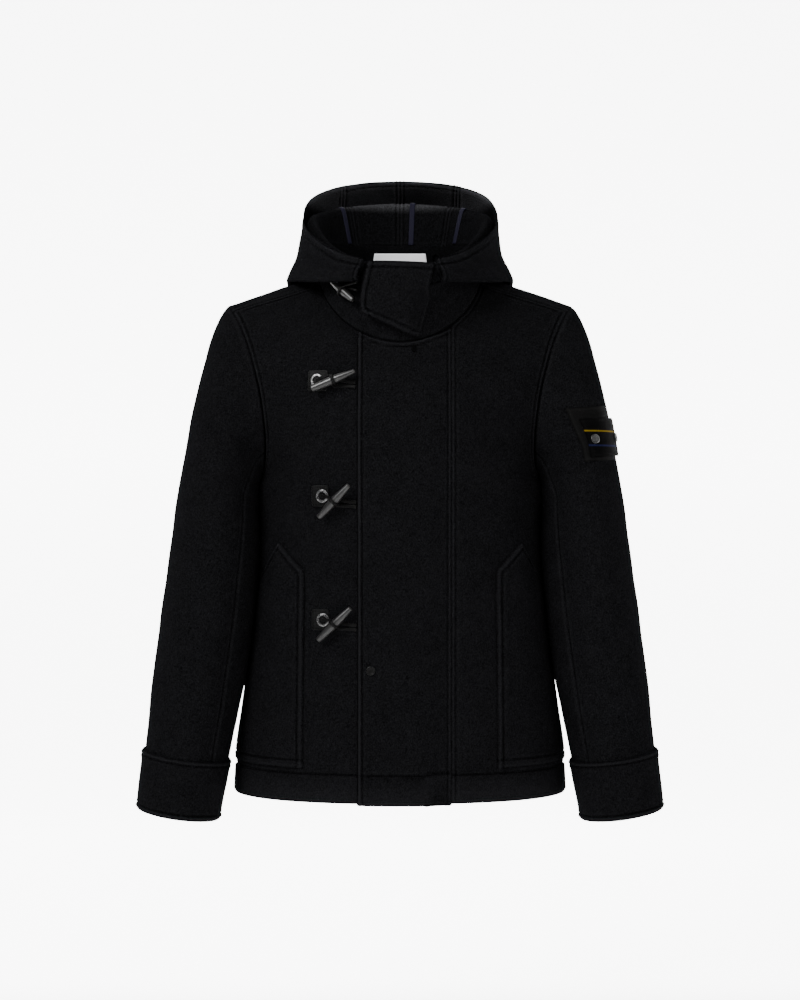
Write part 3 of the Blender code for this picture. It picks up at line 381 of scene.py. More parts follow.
CHEST_Z = -0.27
chest = lengths(front_row(CHEST_Z))[-1] + lengths(round_row(CHEST_Z, True))[-1]
print("chest girth", round(float(2 * chest), 3))

# %% The collar and the hood
# Loops round the neck, one above or outside another along the cloth: from the seam that joins the hood to the
# neckband, over the fold at the nape, down inside, under, and up outside to the hood's edge.
HOOD = (  # loop, half width, front y, back y, front z, side z, back z
    (0, 0.098, -0.108, 0.074, -0.018, 0.052, 0.062),
    (1, 0.113, -0.112, 0.073, 0.006, 0.088, 0.118),
    (2, 0.121, -0.117, 0.092, 0.007, 0.079, 0.110),
    (3, 0.128, -0.121, 0.128, 0.001, 0.050, 0.035),
    (4, 0.138, -0.124, 0.152, -0.006, 0.016, -0.052),
    (5, 0.147, -0.130, 0.176, -0.012, 0.004, -0.088),
    (6, 0.153, -0.137, 0.208, -0.006, 0.010, -0.072),
    (7, 0.149, -0.139, 0.228, 0.001, 0.024, -0.012),
    (8, 0.139, -0.137, 0.218, 0.006, 0.045, 0.058),
    (9, 0.133, -0.133, 0.172, 0.010, 0.068, 0.124),
    (10, 0.129, -0.127, 0.104, 0.014, 0.085, 0.157),
)
HOOD_START = 21  # angle from the front where the hood begins, on both sides
HOOD_FULLNESS, EDGE_FULLNESS = 1.3, 0.7  # how round its loops rise behind: the inner ones and those at its edge
BAND_BOW = 0.004  # how far the neckband stands out at its middle


def hood_point(loop, angle):
    """A point of the hood's outer face. The angle goes round as on the neckline."""
    half_width, front_y, back_y, front_z, side_z, back_z = between_rows(HOOD, loop)
    turn = np.radians(angle)[..., None]
    forward = np.cos(turn)
    y = (front_y + back_y) / 2 - forward * (back_y - front_y) / 2
    fullness = HOOD_FULLNESS - (HOOD_FULLNESS - EDGE_FULLNESS) * ramp(loop, 6, 9)
    rise = (front_z - side_z) * np.maximum(forward, 0) ** NECK_SLOPE
    rise = rise + (back_z - side_z) * np.maximum(-forward, 0) ** fullness
    return np.concatenate([half_width * np.sin(turn), y, side_z + rise], axis=-1)


def neckband_point(share, angle):
    """A point of the neckband's outer face, from the neckline at 0 to the hood's seam at 1."""
    low, high = neckline(angle), hood_point(0, angle)
    bow = BAND_BOW * math.sin(math.pi * share) * (1 - share)
    return low + (high - low) * share + unit(low * (1, 1, 0)) * bow


FLAP = (  # row, x at its sewn edge, z there, x at its free edge, z there
    (0, 0.0440, 0.0125, -0.0410, 0.0140),
    (1, 0.0390, -0.0090, -0.0450, -0.0030),
    (2, 0.0330, -0.0300, -0.0490, -0.0200),
    (3, 0.0275, -0.0500, -0.0510, -0.0350),
    (4, 0.0230, -0.0670, -0.0505, -0.0450),
    (5, 0.0185, -0.0800, -0.0465, -0.0515),
)
FLAP_FRONT, FLAP_CREST_X = -0.141, -0.008  # y of its most forward line at the top, and x of that line
FLAP_BOW, FLAP_SLOPE = 4.5, 0.022  # how fast it curves back to its sides, and how far back its foot lies
TUCK = (0.12, 0.006, -0.1085)  # its sewn edge goes under: the share that turns, how far across and to which y


def flap_point(row, share):
    """A point of the throat flap's face, from its sewn edge at 0 to its free edge at 1."""
    sewn_x, sewn_z, free_x, free_z = between_rows(FLAP, row)
    x, z = sewn_x + (free_x - sewn_x) * share, sewn_z + (free_z - sewn_z) * share
    y = FLAP_FRONT + FLAP_BOW * (x - FLAP_CREST_X) ** 2 + FLAP_SLOPE * ramp(-z, 0.0, 0.09)
    turned_share, across, seat_y = TUCK
    tuck = ramp(row, 1.2, 2.2) * max(1 - share / turned_share, 0.0)
    return np.array((x + across * tuck, y + (seat_y - y) * tuck, z))


print("hood edge at the back", np.round(hood_point(10, 180), 3))

# %% [markdown]
# ## Numbers as expressions
# A finish is a small program: noise makes fibres, fibres make colour and bump. Wiring dozens of Math nodes by hand
# hides the sum that they make. A small class wraps a socket instead, so `fibres * 0.6 + 0.4` adds its own nodes.

# %% A class for shader maths
class Varying:
    """A number that changes over a surface: an output socket with the usual operators."""

    def __init__(self, finish, socket):
        self.finish, self.socket = finish, socket

    def with_math(self, operation, other):
        node = self.finish.add("ShaderNodeMath", {"operation": operation}, {0: self, 1: other})
        return Varying(self.finish, node.outputs[0])

    def __add__(self, other):
        return self.with_math("ADD", other)

    def __sub__(self, other):
        return self.with_math("SUBTRACT", other)

    def __mul__(self, other):
        return self.with_math("MULTIPLY", other)

    def within(self, low, high):
        """0 up to low, 1 from high on, and a soft slope between."""
        settings = {"interpolation_type": "SMOOTHSTEP"}
        node = self.finish.add("ShaderNodeMapRange", settings, {"Value": self, "From Min": low, "From Max": high})
        return Varying(self.finish, node.outputs["Result"])


def add_node(tree, kind, settings=None, sockets=None):
    """A new node. Each of its named inputs gets a value, or a link if it is given another node's output."""
    node = tree.nodes.new(kind)
    for key, value in (settings or {}).items():
        setattr(node, key, value)
    for key, value in (sockets or {}).items():
        value = value.socket if isinstance(value, Varying) else value
        if isinstance(value, bpy.types.NodeSocket):
            tree.links.new(value, node.inputs[key])
        else:
            node.inputs[key].default_value = value
    return node


class Finish:
    """A material, and the ways to add to it."""

    def __init__(self, name, **fixed):
        self.material = bpy.data.materials.new(name)
        self.material.use_nodes = True
        self.tree = self.material.node_tree
        self.shader = self.tree.nodes["Principled BSDF"]
        for socket, value in fixed.items():
            self.shader.inputs[socket.replace("_", " ")].default_value = value
        self.place = self.add("ShaderNodeTexCoord").outputs["Object"]

    def add(self, kind, settings=None, sockets=None):
        return add_node(self.tree, kind, settings, sockets)

    def noise(self, scale, detail=2.0, stretch=(1, 1, 1), turn=(0, 0, 0)):
        """Noise over the object's own space, after that is stretched and turned."""
        place = self.add("ShaderNodeMapping", None, {"Vector": self.place, "Scale": stretch, "Rotation": turn})
        sockets = {"Vector": place.outputs[0], "Scale": scale, "Detail": detail}
        return Varying(self, self.add("ShaderNodeTexNoise", None, sockets).outputs[0])

    def part(self, axis):
        """One coordinate of a place on the object."""
        return Varying(self, self.add("ShaderNodeSeparateXYZ", None, {0: self.place}).outputs[axis])

    def held(self, name):
        """A number that the mesh itself holds at each of its points."""
        return Varying(self, self.add("ShaderNodeAttribute", {"attribute_name": name}).outputs["Fac"])

    def mixed(self, share, first, second):
        return self.add("ShaderNodeMix", {"data_type": "RGBA"}, {0: share, 6: first, 7: second}).outputs[2]

    def feed(self, socket, value):
        value = value.socket if isinstance(value, Varying) else value
        self.tree.links.new(value, self.shader.inputs[socket])

    def raise_by(self, height, distance, strength):
        sockets = {"Height": height, "Distance": distance, "Strength": strength}
        self.feed("Normal", self.add("ShaderNodeBump", None, sockets).outputs[0])


def grey(value, blue=1.0):
    return (value, value, value * blue, 1)


def grained(name, grain, tones, spread=None, rough=None, relief=None, pores=None, **fixed):
    """A material whose grain moves its colour between two tones, and its roughness and height if those are given.
    Its height can also have a grain of its own."""
    made = Finish(name, **fixed)
    share = made.noise(*grain)
    made.feed("Base Color", made.mixed(share.within(*spread) if spread else share, *tones))
    if rough:
        made.feed("Roughness", share * rough[0] + rough[1])
    if relief:
        made.raise_by(made.noise(*pores) if pores else share, *relief)
    return made.material


print("finishes are made with", Finish.__name__, "and", Varying.__name__)

# %% [markdown]
# ## Milled wool
# Melton is woven wool that is shrunk until the weave disappears, and brushed to a short nap. What shows is a dense
# mat of fibres with paler and darker flecks, and a soft bloom of light at grazing angles. An image of felt would
# repeat and stretch over seams. Three sizes of noise give clouds, flecks and fibres, and sheen gives the bloom.
# Painted light and shade is a number that each panel holds at its points: the ridges beside its seams are painted
# paler as painted highlights, and its channels are painted darker as painted shade.

# %% The wool
WOOL_TONE, WOOL_PAINTED_SHADE = 0.0034, 0.9  # its mean colour, and how much darker the hood's inside is painted, as painted shade
WOOL_RANGE = (0.12, 2.0)  # its darkest and palest fibres, as shares of the mean
RIM_PAINTED_LIGHT_RANGE = (3, 14)  # and those inside the hood's rim, painted much paler as painted light, because it faces the floor and gets little light
# the heights between which the hood's inside is painted paler
RIM_PAINTED_LIGHT_HEIGHTS = (0.104, 0.120)
SPECKS = (0.30, 0.72)


def wool_finish(name, base, rim=None):
    made = Finish(name, Roughness=0.92, Sheen_Weight=0.001, Sheen_Roughness=0.5, Specular_IOR_Level=0.0)
    made.shader.inputs["Sheen Tint"].default_value = (0.82, 0.86, 1.0, 1)
    fibres, flecks, clouds = made.noise(900, stretch=(1, 1, 0.6)), made.noise(640), made.noise(30)
    tone = clouds.within(0.30, 0.70) * 0.06 + flecks.within(*SPECKS) * 0.34 + fibres.within(*SPECKS) * 0.60
    # painted highlights on seam ridges and painted shade in seam channels, from the number each panel holds
    tone = tone + made.held("painted_shading") * 0.6
    dark, pale = (base * share for share in WOOL_RANGE)
    colour = made.mixed(tone, grey(dark), (pale, pale * 1.015, pale * 1.125, 1))
    # painted light: between these heights, inside the hood's rim, the fibres are painted much paler
    if rim:
        dark, pale = (base * share for share in RIM_PAINTED_LIGHT_RANGE)
        colour = made.mixed(made.part("Z").within(*rim), colour, made.mixed(tone, grey(dark), grey(pale, 1.1)))
    made.feed("Base Color", colour)
    made.raise_by(fibres * 0.6 + flecks * 0.4, 0.0007, 0.8)
    return made.material


wool = wool_finish("black_wool_nap", WOOL_TONE)
# a copy of the wool for insides: painted shade all over, and painted light inside the hood's rim
wool_painted_shade_and_light = wool_finish("black_wool_inside_painted_shade_and_light", WOOL_TONE * WOOL_PAINTED_SHADE, RIM_PAINTED_LIGHT_HEIGHTS)
print("wool tone", WOOL_TONE)

# %% [markdown]
# ## Panels of cloth
# A panel is cut flat and sewn in at its edges. Near a seam the thick cloth rolls down into it, and each row of
# stitches presses a shallow channel. A Solidify modifier would give square edges, so the wall is made here: the
# outer face, an inner face a cloth's thickness away, and a rounded rim between. Rows and columns stand close
# together where a seam or stitches are, and wide apart where the cloth is smooth.

# %% Cloth from a grid
CLOTH = 0.0028
ROLL = (0.0, 0.0007, 0.0016, 0.0030)  # distances from an edge at which its roll needs points
CHANNEL_STEPS = (-0.0022, -0.0010, 0, 0.0010, 0.0022)  # and across a channel
RIM_PUFF, RIM_PALER = 0.22, 0.15  # how far the rim stands out, as a share of the wall, and how much paler it is painted
ROLL_PAINTED_SHADING = 330  # how much paler the ridge beside a seam is painted, as a painted highlight, and how much darker its groove, as painted shade, for a roll a metre deep
PUCKERS = 720  # radians of small puckers in a metre of stitches


def marks(*stitches):
    """Distances from an edge that need points: its roll, and the channel of each row of stitches."""
    wanted = sorted([*ROLL, *(at + step for at in stitches for step in CHANNEL_STEPS)])
    kept = [wanted[0]]
    for place in wanted[1:]:
        if place - kept[-1] > 0.0005:
            kept.append(place)
    return kept


def stops(length, before, after, spacing=0.0045, most=None):
    """Distances along a length: marks from its start and from its end, and even ones between."""
    shrink = min(1.0, length * 0.8 / (before[-1] + after[-1]))
    start, end = np.array(before) * shrink, length - np.array(after)[::-1] * shrink
    count = most or max(2, int((end[0] - start[-1]) / spacing))
    return np.concatenate([start, np.linspace(start[-1], end[0], count + 1)[1:-1], end])


def face_normals(grid, closed=False):
    across = np.roll(grid, -1, axis=1) - np.roll(grid, 1, axis=1) if closed else np.gradient(grid, axis=1)
    return unit(np.cross(across, np.gradient(grid, axis=0)) + 1e-12)


def apart(points, line):
    """How far each point is from a line, and how far along the line its nearest place is."""
    flat, run = points.reshape(-1, 3), 0.0
    nearest, where = np.full(len(flat), 9.0), np.zeros(len(flat))
    for start, end in zip(line, line[1:]):
        along = end - start
        size = math.sqrt(along @ along) + 1e-9
        share = np.clip((flat - start) @ along / size**2, 0, 1)
        gap = np.linalg.norm(flat - start - share[:, None] * along, axis=1)
        closer = gap < nearest
        nearest[closer], where[closer] = gap[closer], run + share[closer] * size
        run += size
    return nearest.reshape(points.shape[:2]), where.reshape(points.shape[:2])


def hump(distance, width):
    """1 on a line, and soon 0 beside it."""
    return np.exp(-((distance / width) ** 2))


def pressed(grid, seams, folds=(), waves=0.0005):
    """How far the face of a panel stands out from its grid, from rolled edges, stitch channels, folds and waves,
    and how much paler or darker it is painted: painted highlights on the ridges beside seams and stitches, and
    painted shade in their grooves. A seam is its line, the depth of its roll and its stitches' distances from it."""
    x, y, z = np.moveaxis(grid, -1, 0)
    painted_shading = np.zeros(x.shape)
    total = waves * np.sin(61 * x + 17 * z + 1.3) * np.sin(43 * z - 29 * y + 0.4)
    total += waves * 0.6 * np.sin(97 * z + 41 * x + 2.1) * np.sin(71 * x - 53 * y)
    for line, roll, stitches in seams:
        off, along = apart(grid, line)
        ripple = np.sin(along * PUCKERS + 1.9 * np.sin(along * 61))
        total -= roll * 1.3 * hump(off, 0.0021)
        # painted highlight on the ridge beside the seam, and painted shade in its groove
        painted_shading += ROLL_PAINTED_SHADING * roll * (hump(off - 0.0030, 0.0018) - hump(off, 0.0011))
        for at in stitches:
            aside = np.abs(off - at)
            total += 0.0005 * hump(aside - 0.0032, 0.0018) - 0.0012 * hump(aside, 0.0013)
            total += 0.00022 * ripple * hump(aside, 0.0055)
            # painted highlight beside each row of stitches, and painted shade in its channel
            painted_shading += 0.18 * hump(aside - 0.0034, 0.0016) - 0.42 * hump(aside, 0.0013)
    for start, end, width, height in folds:
        along = np.subtract(end, start)
        share = np.clip((grid - start) @ along / (along @ along), 0, 1)
        gap = np.linalg.norm(grid - start - share[..., None] * along, axis=-1)
        total += height * np.sin(np.pi * np.clip(share, 0.03, 0.97)) ** 0.7 * hump(gap, width)
    return np.stack([total, painted_shading])


def seams_of(grid, edges):
    """The seams at edges of a grid. Each is given as the depth of its roll, then its stitches' distances."""
    lines = {"start": grid[:, 0], "end": grid[:, -1], "foot": grid[0], "head": grid[-1]}
    return [(lines[edge], roll, stitches) for edge, (roll, *stitches) in edges.items()]


def finished(name, points, faces, finish, replaced=(), crease=None):
    """A smooth mesh that rides on the coat, with the finish it is given."""
    data = bpy.data.meshes.new(name)
    data.from_pydata([tuple(map(float, p)) for p in points], [], faces)
    data.shade_smooth()
    if crease:
        data.set_sharp_from_angle(angle=math.radians(crease))
    data.materials.append(finish)
    made = placed(name, data)
    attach(made, "root")
    if replaced:
        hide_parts(*replaced)
    return made


def cloth(name, grid, relief, finish, slot="black_wool", side=1, closed=False, cut=None, wall=CLOTH, held="draped",
          inside=None, back=None):
    """A piece of cloth from the grid of its outer face and that face's relief. Its wall goes inward, its rim is
    rounded, and its inner face can have a finish and a relief of its own. It has no cloth between the cut's column
    and the next, unless their points are the same, as where a neckline ends."""
    grid = np.asarray(grid, float)
    rows, columns = grid.shape[:2]
    flat = grid.reshape(-1, 3)
    same = {}
    new = np.array([same.setdefault(tuple(point), len(same)) for point in np.round(flat, 7)])
    count = len(same)
    old = np.zeros(count, int)
    old[new] = np.arange(len(flat))
    middle, (height, painted_shading) = flat[old], relief.reshape(2, -1)[:, old]
    normals = np.zeros((count, 3))
    np.add.at(normals, new, face_normals(grid, closed).reshape(-1, 3))
    normals = unit(normals + 1e-12)
    quads = []
    for r in range(rows - 1):
        for c in range(columns if closed else columns - 1):
            d = (c + 1) % columns
            quad = new[[r * columns + c, r * columns + d, (r + 1) * columns + d, (r + 1) * columns + c]]
            quad = tuple(dict.fromkeys(int(k) for k in quad))
            if c != cut and len(quad) > 2:
                quads.append(quad)
    sides = {(quad[k - 1], quad[k]) for quad in quads for k in range(len(quad))}
    open_sides = sorted(pair for pair in sides if pair[::-1] not in sides)
    # the inner face gets painted light and shade of its own: a third of the outer face's, or the one given for it
    under, inner_painted_shading = np.minimum(height + CLOTH / 2, 0), painted_shading * 0.3
    if back is not None:
        under, inner_painted_shading = back.reshape(2, -1)[:, old] * ((-1,), (1,))
    outer, inner = middle + normals * height[:, None], middle + normals * (under - wall)[:, None]
    away, rim = np.zeros((count, 3)), {}
    for a, b in open_sides:
        outward = np.cross(middle[b] - middle[a], normals[a])
        for k in (a, b):
            away[k] += unit(outward + 1e-12)
            rim.setdefault(k, 2 * count + len(rim))
    faces = quads + [tuple(count + k for k in reversed(quad)) for quad in quads]
    for a, b in open_sides:
        faces += [(b, a, rim[a], rim[b]), (rim[b], rim[a], count + a, count + b)]
    edge = list(rim)
    turned_edge = (outer[edge] + inner[edge]) / 2 + unit(away[edge] + 1e-12) * wall * RIM_PUFF
    points = mirrored(np.concatenate([outer, inner, turned_edge]), side)
    if side < 0:
        faces = [tuple(reversed(face)) for face in faces]
    made = finished(f"{name}_cloth", points, faces, finish, (name,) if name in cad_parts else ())
    # the painted highlights and painted shade go on the mesh as a number at each point, and the rounded rim is
    # painted a fixed amount paler
    shares = made.data.attributes.new("painted_shading", "FLOAT", "POINT")
    shares.data.foreach_set("value", np.concatenate([painted_shading, inner_painted_shading, np.full(len(rim), RIM_PALER)]))
    if inside:
        made.data.materials.append(inside)
        for face in made.data.polygons[len(quads):2 * len(quads)]:
            face.material_index = 1
    return made


def sewn(name, grid, edges, folds=(), waves=0.0005, finish=wool, **more):
    """A panel with seams at some of its edges."""
    return cloth(name, grid, pressed(grid, seams_of(grid, edges), folds, waves), finish, **more)


print("cloth", CLOTH * 1000, "mm thick")

# %% [markdown]
# ## Fronts, back and placket
# The body is round below the armpits and turns flatter over the chest, as the forms above say. The rows of each
# panel lie at one height, so its folds can be laid one by one, in metres: soft drag lines run from each armpit, and
# the cloth drops straight from the chest to the hem. The hem is turned up, and its stitches pull a line round it.

# %% Body
PLACKET_ANGLE = 37.7  # where the placket's seam meets the neckline, by its angle round the neck
PLACKET_SEAM, PLACKET_TOP = neckline(PLACKET_ANGLE)[[0, 2]]
PLACKET_LIFT = 0.0043  # how far the placket stands out over the front
UNDERLAP = 0.026  # how far the right front goes on under it, past the centre
SEAM_ROLL, HEM_ROLL = 0.0012, 0.0014
EDGE_STITCH, SHOULDER_STITCH = 0.0048, 0.0062  # distances of stitches from a seam
NECK_GAP = 0.0004  # a front ends this far under the shoulder seam's upper end
ROW_STEP = 0.0035  # between rows of a front, above the fold of its hem


def front_side_girth(z):
    return lengths(front_row(z))[-1]


def front_at_girth(girth, z, out=0.0):
    """A point of the front's face this far round from its centre."""
    step = 0.004
    here, after = at_length(front_row(z), [girth - step, girth + step])
    above, below = (at_length(front_row(height), girth) for height in (z + step, z - step))
    return at_length(front_row(z), girth) + out * unit(np.cross(after - here, above - below))


def placket_lift(x):
    return PLACKET_LIFT * (1 - ramp(x, UNDERLAP + 0.004, PLACKET_SEAM - 0.002))


def neck_height(x):
    return neckline(math.degrees(math.asin(min(abs(x) / NECK_HALF_WIDTH, 1))))[2]


def on_front(x, z, out):
    return front_at_x(x, z) + front_out(x, min(z, neck_height(x) - 0.0045)) * out


def front_grid(inner_x):
    """A front, from inner_x or the neckline to the side seam, the armhole or the shoulder seam."""
    top, throat = SHOULDER_NECK[2] - NECK_GAP, neckline(0)[2]
    heights = HEM_Z + stops(0.560, marks(HEM_FOLD), [0.0])
    heights = np.concatenate([heights, np.arange(heights[-1] + ROW_STEP, top - 0.0012, ROW_STEP), [top]])
    grid = []
    for z in heights:
        if inner_x < 0 and throat - 0.004 < z < neckline(14)[2]:
            continue
        row = front_row(z)
        inner = max(inner_x, row[0, 0])
        if inner_x < 0 and z < throat:
            row = np.concatenate([(row * (-1, 1, 1))[20:0:-1], row])
            inner = inner_x
        first, last = np.interp(inner, row[:, 0], lengths(row)), lengths(row)[-1]
        grid.append(at_length(row, first + stops(last - first, marks(0.006), marks(0.006, 0.012), most=46)))
    return np.array(grid)


def back_grid():
    """The back in one piece, over the shoulders to the seams. It has its two halves' columns side by side, from
    the wearer's left, and they are the same at the centre, as high as the nape."""
    heights = HEM_Z + stops(ARMPIT_Z - HEM_Z, marks(HEM_FOLD), [0.0])
    rows = [round_row(z, True) for z in heights]
    rows += [back_row(share) for share in stops(1.0, [0.008], [0.0, 0.004, 0.010], most=74)]
    grid = []
    for row in rows:
        half = at_length(row, stops(lengths(row)[-1], [0.0, 0.002], marks(0.006), most=44))
        grid.append(np.concatenate([half[::-1], half * (-1, 1, 1)]))
    return np.array(grid)


DRAG = (  # soft folds of a front, as start, end, width and height
    ((0.150, -0.105, -0.150), (0.075, -0.118, -0.235), 0.013, 0.0022),
    ((0.160, -0.098, -0.195), (0.100, -0.112, -0.300), 0.014, -0.0018),
    ((0.170, -0.085, -0.240), (0.120, -0.105, -0.360), 0.016, 0.0020),
    ((0.080, -0.115, -0.300), (0.095, -0.112, -0.640), 0.022, 0.0012),
    ((0.140, -0.095, -0.360), (0.150, -0.092, -0.480), 0.018, -0.0012),
)
SIDE_SWELL = ((0.182, -0.020, -0.190), (0.200, -0.020, -0.600), 0.036, 0.0044)
BACK_FOLDS = (
    ((0.150, 0.080, -0.170), (0.050, 0.110, -0.290), 0.016, 0.0024),
    ((-0.150, 0.080, -0.180), (-0.060, 0.110, -0.310), 0.016, 0.0022),
    ((0.090, 0.115, -0.280), (0.105, 0.120, -0.660), 0.026, 0.0022),
    ((-0.080, 0.115, -0.260), (-0.095, 0.120, -0.660), 0.028, 0.0020),
    ((0.0, 0.115, -0.160), (0.008, 0.125, -0.600), 0.030, -0.0016),
)


def body_front(name, side, inner_x, folds):
    """A front, with a stitched seam along the placket if it ends there."""
    grid = front_grid(inner_x)
    inner_edge = (SEAM_ROLL, EDGE_STITCH) if inner_x > 0 else (0.0,)
    edges = {"start": inner_edge, "end": (SEAM_ROLL, SHOULDER_STITCH), "foot": (HEM_ROLL, HEM_FOLD)}
    return grid, sewn(name, grid, edges, [*folds, SIDE_SWELL], side=side)


left_grid, left_front = body_front("front_left", 1, PLACKET_SEAM, DRAG)
right_grid, right_front = body_front("front_right", -1, -UNDERLAP, DRAG[::2] + DRAG[3:4])
spine_grid = back_grid()
half = spine_grid.shape[1] // 2
seams = seams_of(spine_grid, {"start": (SEAM_ROLL,), "end": (SEAM_ROLL,), "foot": (HEM_ROLL, HEM_FOLD)})
seams += [(line, SEAM_ROLL, (SHOULDER_STITCH,)) for line in (spine_grid[-1, :half], spine_grid[-1, half:])]
back = cloth("back", spine_grid, pressed(spine_grid, seams, BACK_FOLDS), wool, cut=half - 1)
print("body", len(left_front.data.polygons), len(right_front.data.polygons), len(back.data.polygons), "faces")

# %% Placket
PLACKET_EDGE, PLACKET_END_Z, PLACKET_DROP = -0.054, -0.672, 0.0010
PLACKET_HEM, PLACKET_STITCH = HEM_FOLD + 0.002, 0.0066
PLACKET_FOLDS = (
    ((-0.020, -0.125, -0.160), (0.030, -0.122, -0.290), 0.015, 0.0011),
    ((0.020, -0.122, -0.330), (-0.015, -0.125, -0.470), 0.016, -0.0010),
    ((-0.010, -0.125, -0.520), (0.030, -0.120, -0.640), 0.015, 0.0010),
)


def placket_grid():
    """The placket, from its free edge to its seam. Its highest rows bend to follow the neckline."""
    high = PLACKET_TOP - PLACKET_END_Z
    heights = PLACKET_END_Z + stops(high, marks(PLACKET_HEM), marks(PLACKET_STITCH))
    across = stops(PLACKET_SEAM - PLACKET_EDGE, marks(PLACKET_STITCH), marks(EDGE_STITCH), most=22)
    grid = []
    for z in heights:
        rise = ((z - PLACKET_END_Z) / high) ** 22
        row = []
        for x in PLACKET_EDGE + across:
            if x > PLACKET_SEAM - 1e-6:
                row.append(front_at_x(x, z))
                continue
            height = z + (neck_height(x) - PLACKET_DROP - PLACKET_TOP) * rise
            height = max(height, PLACKET_END_Z + 0.002 * ramp(x, UNDERLAP, UNDERLAP + 0.02))
            row.append(on_front(x, height, placket_lift(x)))
        grid.append(row)
    return np.array(grid)


band_grid = placket_grid()
edges = {"start": (0.0026, PLACKET_STITCH), "end": (SEAM_ROLL, EDGE_STITCH)}
edges |= {"foot": (HEM_ROLL, PLACKET_HEM), "head": (0.0016, PLACKET_STITCH)}
placket = sewn("placket", band_grid, edges, PLACKET_FOLDS, held="laid")
print("placket", [round(v, 3) for v in placket.dimensions])

# %% [markdown]
# ## Sleeves, cuffs and pockets
# A sleeve is one tube in two pieces, with a seam in front and one behind. Cloth that hangs from a shoulder breaks at
# the inside of the elbow, so short folds lie there. The cuff is a second layer over the sleeve's end, and a pocket is
# a second layer over the front, so both follow the function of what is under them, moved out by their own thickness.

# %% Sleeves and cuffs
SIDES = ((1, "left"), (-1, "right"))
FRONT_ARM_SEAM, BACK_ARM_SEAM = 133.0, 252.36
SLEEVE_END = 12.95
CUFF_TOP, CUFF_END, CUFF_WALL, CUFF_STEP = 11.42, 13.12, 0.0034, 0.0008
CUFF_STITCHES = (0.0058, 0.0062)  # distances from its upper and its lower edge
LAYER_GAP = 0.0004  # between a second layer and what is under it
SLEEVE_FOLDS = (
    ((0.232, -0.075, -0.205), (0.292, -0.050, -0.262), 0.010, 0.0020),
    ((0.226, -0.070, -0.238), (0.280, -0.062, -0.300), 0.011, -0.0018),
    ((0.230, -0.080, -0.300), (0.298, -0.055, -0.345), 0.011, 0.0022),
    ((0.232, -0.085, -0.352), (0.300, -0.060, -0.378), 0.010, 0.0026),
    ((0.236, -0.088, -0.382), (0.306, -0.065, -0.402), 0.009, -0.0022),
    ((0.240, -0.090, -0.405), (0.312, -0.070, -0.440), 0.011, 0.0024),
    ((0.250, -0.095, -0.450), (0.312, -0.075, -0.505), 0.013, 0.0016),
    ((0.262, -0.098, -0.500), (0.318, -0.080, -0.590), 0.015, -0.0014),
)
ARM_SWELL = ((0.189, -0.020, -0.255), (0.212, -0.030, -0.600), 0.034, 0.0042)


def stations(first, last, spacing, start_marks, end_marks):
    """Stations of the sleeve that stand a spacing apart along its front."""
    table = np.linspace(first, last, 200)
    line = np.array([sleeve_point(station, 70.0) for station in table])
    run = lengths(line)
    return np.interp(stops(run[-1], start_marks, end_marks, spacing), run, table)


def sleeve_grid(start, end):
    """One piece of a sleeve, between two angles round the arm."""
    fine = np.linspace(start, end, 91)
    grid = []
    for station in stations(0.0, SLEEVE_END, 0.0045, marks(), [0.0]):
        row = sleeve_point(station, fine)
        grid.append(at_length(row, stops(lengths(row)[-1], marks(), marks(), most=int(10 + (end - start) / 4.4))))
    return np.array(grid)


def cuff_grid():
    """Rings of the cuff. It stands out further where its cloth is doubled, at both of its ends."""
    grid = []
    for station in stations(CUFF_TOP, CUFF_END, 0.0040, *(marks(at) for at in CUFF_STITCHES)):
        single = ramp(station, CUFF_TOP + 0.20, CUFF_TOP + 0.26)
        single *= 1 - ramp(station, CUFF_END - 0.14, CUFF_END - 0.09)
        out = CUFF_WALL + LAYER_GAP + CUFF_STEP * (1 - single)
        grid.append(sleeve_point(station, np.linspace(0, 360, 121)[:-1], out))
    return np.array(grid)


sleeves = {
    "outer": (sleeve_grid(BACK_ARM_SEAM, 360 + FRONT_ARM_SEAM), SLEEVE_FOLDS),
    "under": (sleeve_grid(FRONT_ARM_SEAM, BACK_ARM_SEAM), (*SLEEVE_FOLDS[1::2], ARM_SWELL)),
}
ring_grid = cuff_grid()
cuff_ends = [np.vstack([ring, ring[:1]]) for ring in (ring_grid[0], ring_grid[-1])]
cuff_relief = pressed(ring_grid, [(end, 0.0014, (at,)) for end, at in zip(cuff_ends, CUFF_STITCHES)])
cuffs = {}
for side, word in SIDES:
    for part, (grid, folds) in sleeves.items():
        if side < 0:
            folds = [(a, b, width * 1.1, height * (0.75 + 0.1 * k)) for k, (a, b, width, height) in enumerate(folds)]
        edges = {"start": (0.0011,), "end": (0.0011,), "foot": (0.0012,)}
        sewn(f"sleeve_{part}_{word}", grid, edges, folds, side=side)
    looks = {"side": side, "closed": True, "wall": CUFF_WALL, "held": "folded"}
    cuffs[side] = cloth(f"cuff_{word}", ring_grid, cuff_relief, wool, **looks)
print("sleeves and cuffs are on")

